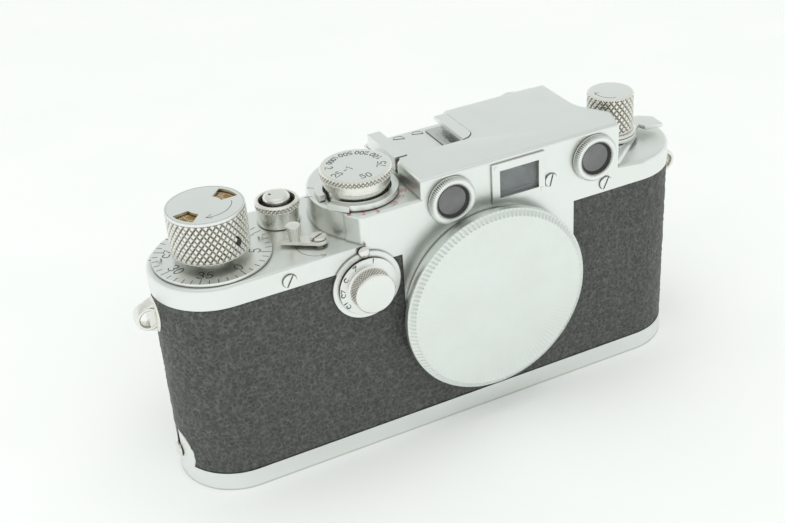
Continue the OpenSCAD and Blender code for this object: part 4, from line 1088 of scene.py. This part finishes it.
def covering(name, front, seed, replaces):
    """Half of the covering, front or back, from the middle of one round end to the other."""
    rng = np.random.default_rng(seed)
    cover_lo, cover_hi = span("body_covering")
    half, r = 53.5, (cover_hi[1] - cover_lo[1]) / 2
    bend = math.pi / 2 * r
    z0, z1 = cover_lo[2], cover_hi[2]
    step = 0.27

    def spread(*stops):
        pieces = [np.linspace(a, b, max(2, int(round((b - a) / step)) + 1))[:-1]
                  for a, b in zip(stops, stops[1:])]
        return np.concatenate(pieces + [[stops[-1]]])

    notch = (-12.85, 33.55, 29.95) if front else None
    if front:
        s_line = spread(0, bend, bend + notch[0] + half, bend + notch[1] + half,
                        bend + 2 * half, 2 * bend + 2 * half)
        z_line = spread(z0, notch[2], z1)
    else:
        s_line = spread(0, bend, bend + 2 * half, 2 * bend + 2 * half)
        z_line = spread(z0, z1)
    s, z = np.meshgrid(s_line, z_line, indexing="ij")

    def outline(s):
        a = np.where(s < bend, math.pi + s / r, np.where(s > bend + 2 * half,
                     1.5 * math.pi + (s - bend - 2 * half) / r, 1.5 * math.pi))
        mid = np.where(s < bend, -half, np.where(s > bend + 2 * half, half, s - bend - half))
        return mid, np.cos(a), np.sin(a)

    mid, nx, ny = outline(s)
    x, y = mid + r * nx, r * ny
    keep = np.ones((len(s_line) - 1, len(z_line) - 1), bool)
    cx = (x[:-1, :-1] + x[1:, 1:]) / 2
    cy = (y[:-1, :-1] + y[1:, 1:]) / 2
    cz = (z[:-1, :-1] + z[1:, 1:]) / 2
    snaps = []
    if front:
        keep &= ~((cx > notch[0]) & (cx < notch[1]) & (cz > notch[2]) & (cy < -13))
        cap_lo, cap_hi = span("body_cap")
        lens = ((cap_lo[0] + cap_hi[0]) / 2, (cap_lo[2] + cap_hi[2]) / 2)
        keep &= ~(np.hypot(cx - lens[0], cz - lens[1]) < 21.6)
    tab = (np.hypot(cy, cz - TAB_Z) < TAB_R) & (cx < -60)
    keep &= ~tab
    # pull the ragged edge of the tab's cut-out onto its circle
    edge = np.zeros(s.shape, bool)
    edge[:-1, :-1] |= tab
    edge[1:, :-1] |= tab
    edge[:-1, 1:] |= tab
    edge[1:, 1:] |= tab
    inner = np.zeros(s.shape, int)
    for da in (0, 1):
        for db in (0, 1):
            inner[da:da + tab.shape[0], db:db + tab.shape[1]] += tab
    snap = edge & (inner < 4) & (x < -60) & (s > 1e-6)
    reach = np.hypot(y, z - TAB_Z)
    scale = np.where(snap, (TAB_R + 0.03) / np.maximum(reach, 1e-6), 1)
    snapped_y = np.clip(y * scale, -r, r)
    z = np.where(snap, np.maximum(z0, TAB_Z + (z - TAB_Z) * scale), z)
    s = np.where(snap, r * np.arcsin(np.clip(-snapped_y / r, -1, 1)), s)
    mid, nx, ny = outline(s)
    sign = 1 if front else -1
    # the grain's height, scaled to 0..1, is what the covering material paints as light on the crests
    # and shade in the folds
    height = wrinkles(s, z, rng)
    low, high = np.percentile(height, (5, 95))
    grain = np.clip((height - low) / (high - low), 0, 1).reshape(-1)
    rim = np.minimum.reduce([z - z0, z1 - z, np.full_like(z, 9)])
    height = height - 0.10 * np.clip(1 - rim / 0.25, 0, 1)
    # pieces meet at the middle of the ends, where the grain fades out
    seam = np.clip(np.minimum(s - s_line[0], s_line[-1] - s) / 1.2, 0, 1)
    height = height * seam
    rr = r + 0.1 + height
    points = np.stack([mid + rr * nx, sign * rr * ny, z], -1).reshape(-1, 3)
    count = s.shape[1]
    i, k = np.nonzero(keep)
    a = i * count + k
    quads = np.stack([a, a + count, a + count + 1, a + 1], 1)
    if not front:
        quads = quads[:, ::-1]
    # thickness: the border is folded back towards the shell
    edges = {}
    for q in quads.tolist():
        for e in range(4):
            p, t = q[e], q[(e + 1) % 4]
            if (t, p) in edges:
                del edges[(t, p)]
            else:
                edges[(p, t)] = True
    inward = points.copy()
    flat_n = np.stack([nx, sign * ny, np.zeros_like(nx)], -1).reshape(-1, 3)
    inward = points - flat_n * 0.6
    border = sorted({v for e in edges for v in e})
    extra = {v: len(points) + n for n, v in enumerate(border)}
    verts = np.concatenate([points, inward[border]])
    faces = quads.tolist() + [[t, p, extra[p], extra[t]] for p, t in edges]
    used = np.unique(np.array([v for f in faces for v in f]))
    index = np.full(len(verts), -1)
    index[used] = np.arange(len(used))
    faces = [tuple(index[f]) for f in faces]
    body, slot = fixed_to("body_covering")
    obj = place_mesh(name, verts[used], faces, body, COVERING, slot, 180)
    obj.data.attributes.new("grain", "FLOAT", "POINT").data.foreach_set(
        "value", np.concatenate([grain, grain[border]])[used])
    if replaces:
        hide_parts("body_covering")


covering("covering_front", True, 11, True)
covering("covering_back", False, 12, False)


# ---------------------------------------------------------------- stage, light, camera

def stage():
    size = 3.0
    mesh = bpy.data.meshes.new("floor")
    mesh.from_pydata([(-size, -size, 0), (size, -size, 0), (size, size, 0), (-size, size, 0)], [],
                     [(0, 1, 2, 3)])
    floor = bpy.data.objects.new("floor", mesh)
    bpy.context.scene.collection.objects.link(floor)
    floor.location.z = cad_box[0][2] - 0.00005
    mat, tree, shader = new_material("floor")
    speck = noise(tree, 0.02, 2)
    tree.links.new(mix_colour(tree, remap(tree, speck, 0.3, 0.7, 0.0, 1.0), (0.93, 0.94, 0.93),
                              (0.95, 0.955, 0.95)), shader.inputs["Base Color"])
    shader.inputs["Roughness"].default_value = 0.7
    mesh.materials.append(mat)
    return floor


def area_light(name, place_at, aim, size, watts):
    data = bpy.data.lights.new(name, "AREA")
    data.shape = "RECTANGLE"
    data.size, data.size_y = size
    data.energy = watts
    light = bpy.data.objects.new(name, data)
    bpy.context.scene.collection.objects.link(light)
    light.visible_glossy = False
    light.location = place_at
    light.rotation_euler = (Vector(aim) - Vector(place_at)).to_track_quat("-Z", "Y").to_euler()
    return light


def studio_world():
    """Soft white room: bright all round with a greyer ceiling."""
    world = bpy.data.worlds.new("studio")
    bpy.context.scene.world = world
    world.use_nodes = True
    tree = world.node_tree
    tree.nodes.clear()
    out = tree.nodes.new("ShaderNodeOutputWorld")
    background = tree.nodes.new("ShaderNodeBackground")
    coords = tree.nodes.new("ShaderNodeTexCoord")
    split = tree.nodes.new("ShaderNodeSeparateXYZ")
    tree.links.new(coords.outputs["Generated"], split.inputs[0])
    colour = ramp(tree, remap(tree, split.outputs["Z"], -1, 1, 0, 1),
                  [(0.0, (0.97, 0.98, 0.97)), (0.56, (1.0, 1.0, 1.0)), (0.68, (0.82, 0.85, 0.83)),
                   (0.78, (0.66, 0.69, 0.67)), (0.90, (0.62, 0.65, 0.63)), (1.0, (0.95, 0.97, 0.96))])
    tree.links.new(colour, background.inputs["Color"])
    background.inputs["Strength"].default_value = 1.04
    tree.links.new(background.outputs[0], out.inputs[0])


def camera():
    """Camera above and to the left of the front, 0.32 m from the middle of the body."""
    azimuth, elevation, roll = math.radians(-24.29), math.radians(31.24), math.radians(-4.17)
    distance, target = 0.32047, Vector((-0.00887, 0, 0.03997))
    back = Vector((math.sin(azimuth) * math.cos(elevation),
                   -math.cos(azimuth) * math.cos(elevation), math.sin(elevation)))
    right = Vector((0, 0, 1)).cross(back).normalized()
    up = back.cross(right)
    turned_right = right * math.cos(roll) + up * math.sin(roll)
    turned_up = up * math.cos(roll) - right * math.sin(roll)
    data = bpy.data.cameras.new("camera")
    data.sensor_width = 36
    data.lens = 60.65
    data.clip_start = 0.01
    obj = bpy.data.objects.new("camera", data)
    bpy.context.scene.collection.objects.link(obj)
    axes_matrix = Matrix((turned_right, turned_up, back)).transposed().to_4x4()
    obj.matrix_world = Matrix.Translation(target + back * distance) @ axes_matrix
    bpy.context.scene.camera = obj


KEY_WATTS = 7.5
stage()
studio_world()
camera()
area_light("key", (-0.25, -0.35, 1.2), (0, 0, 0), (1.6, 1.6), KEY_WATTS)
bpy.context.scene.view_settings.view_transform = "Standard"
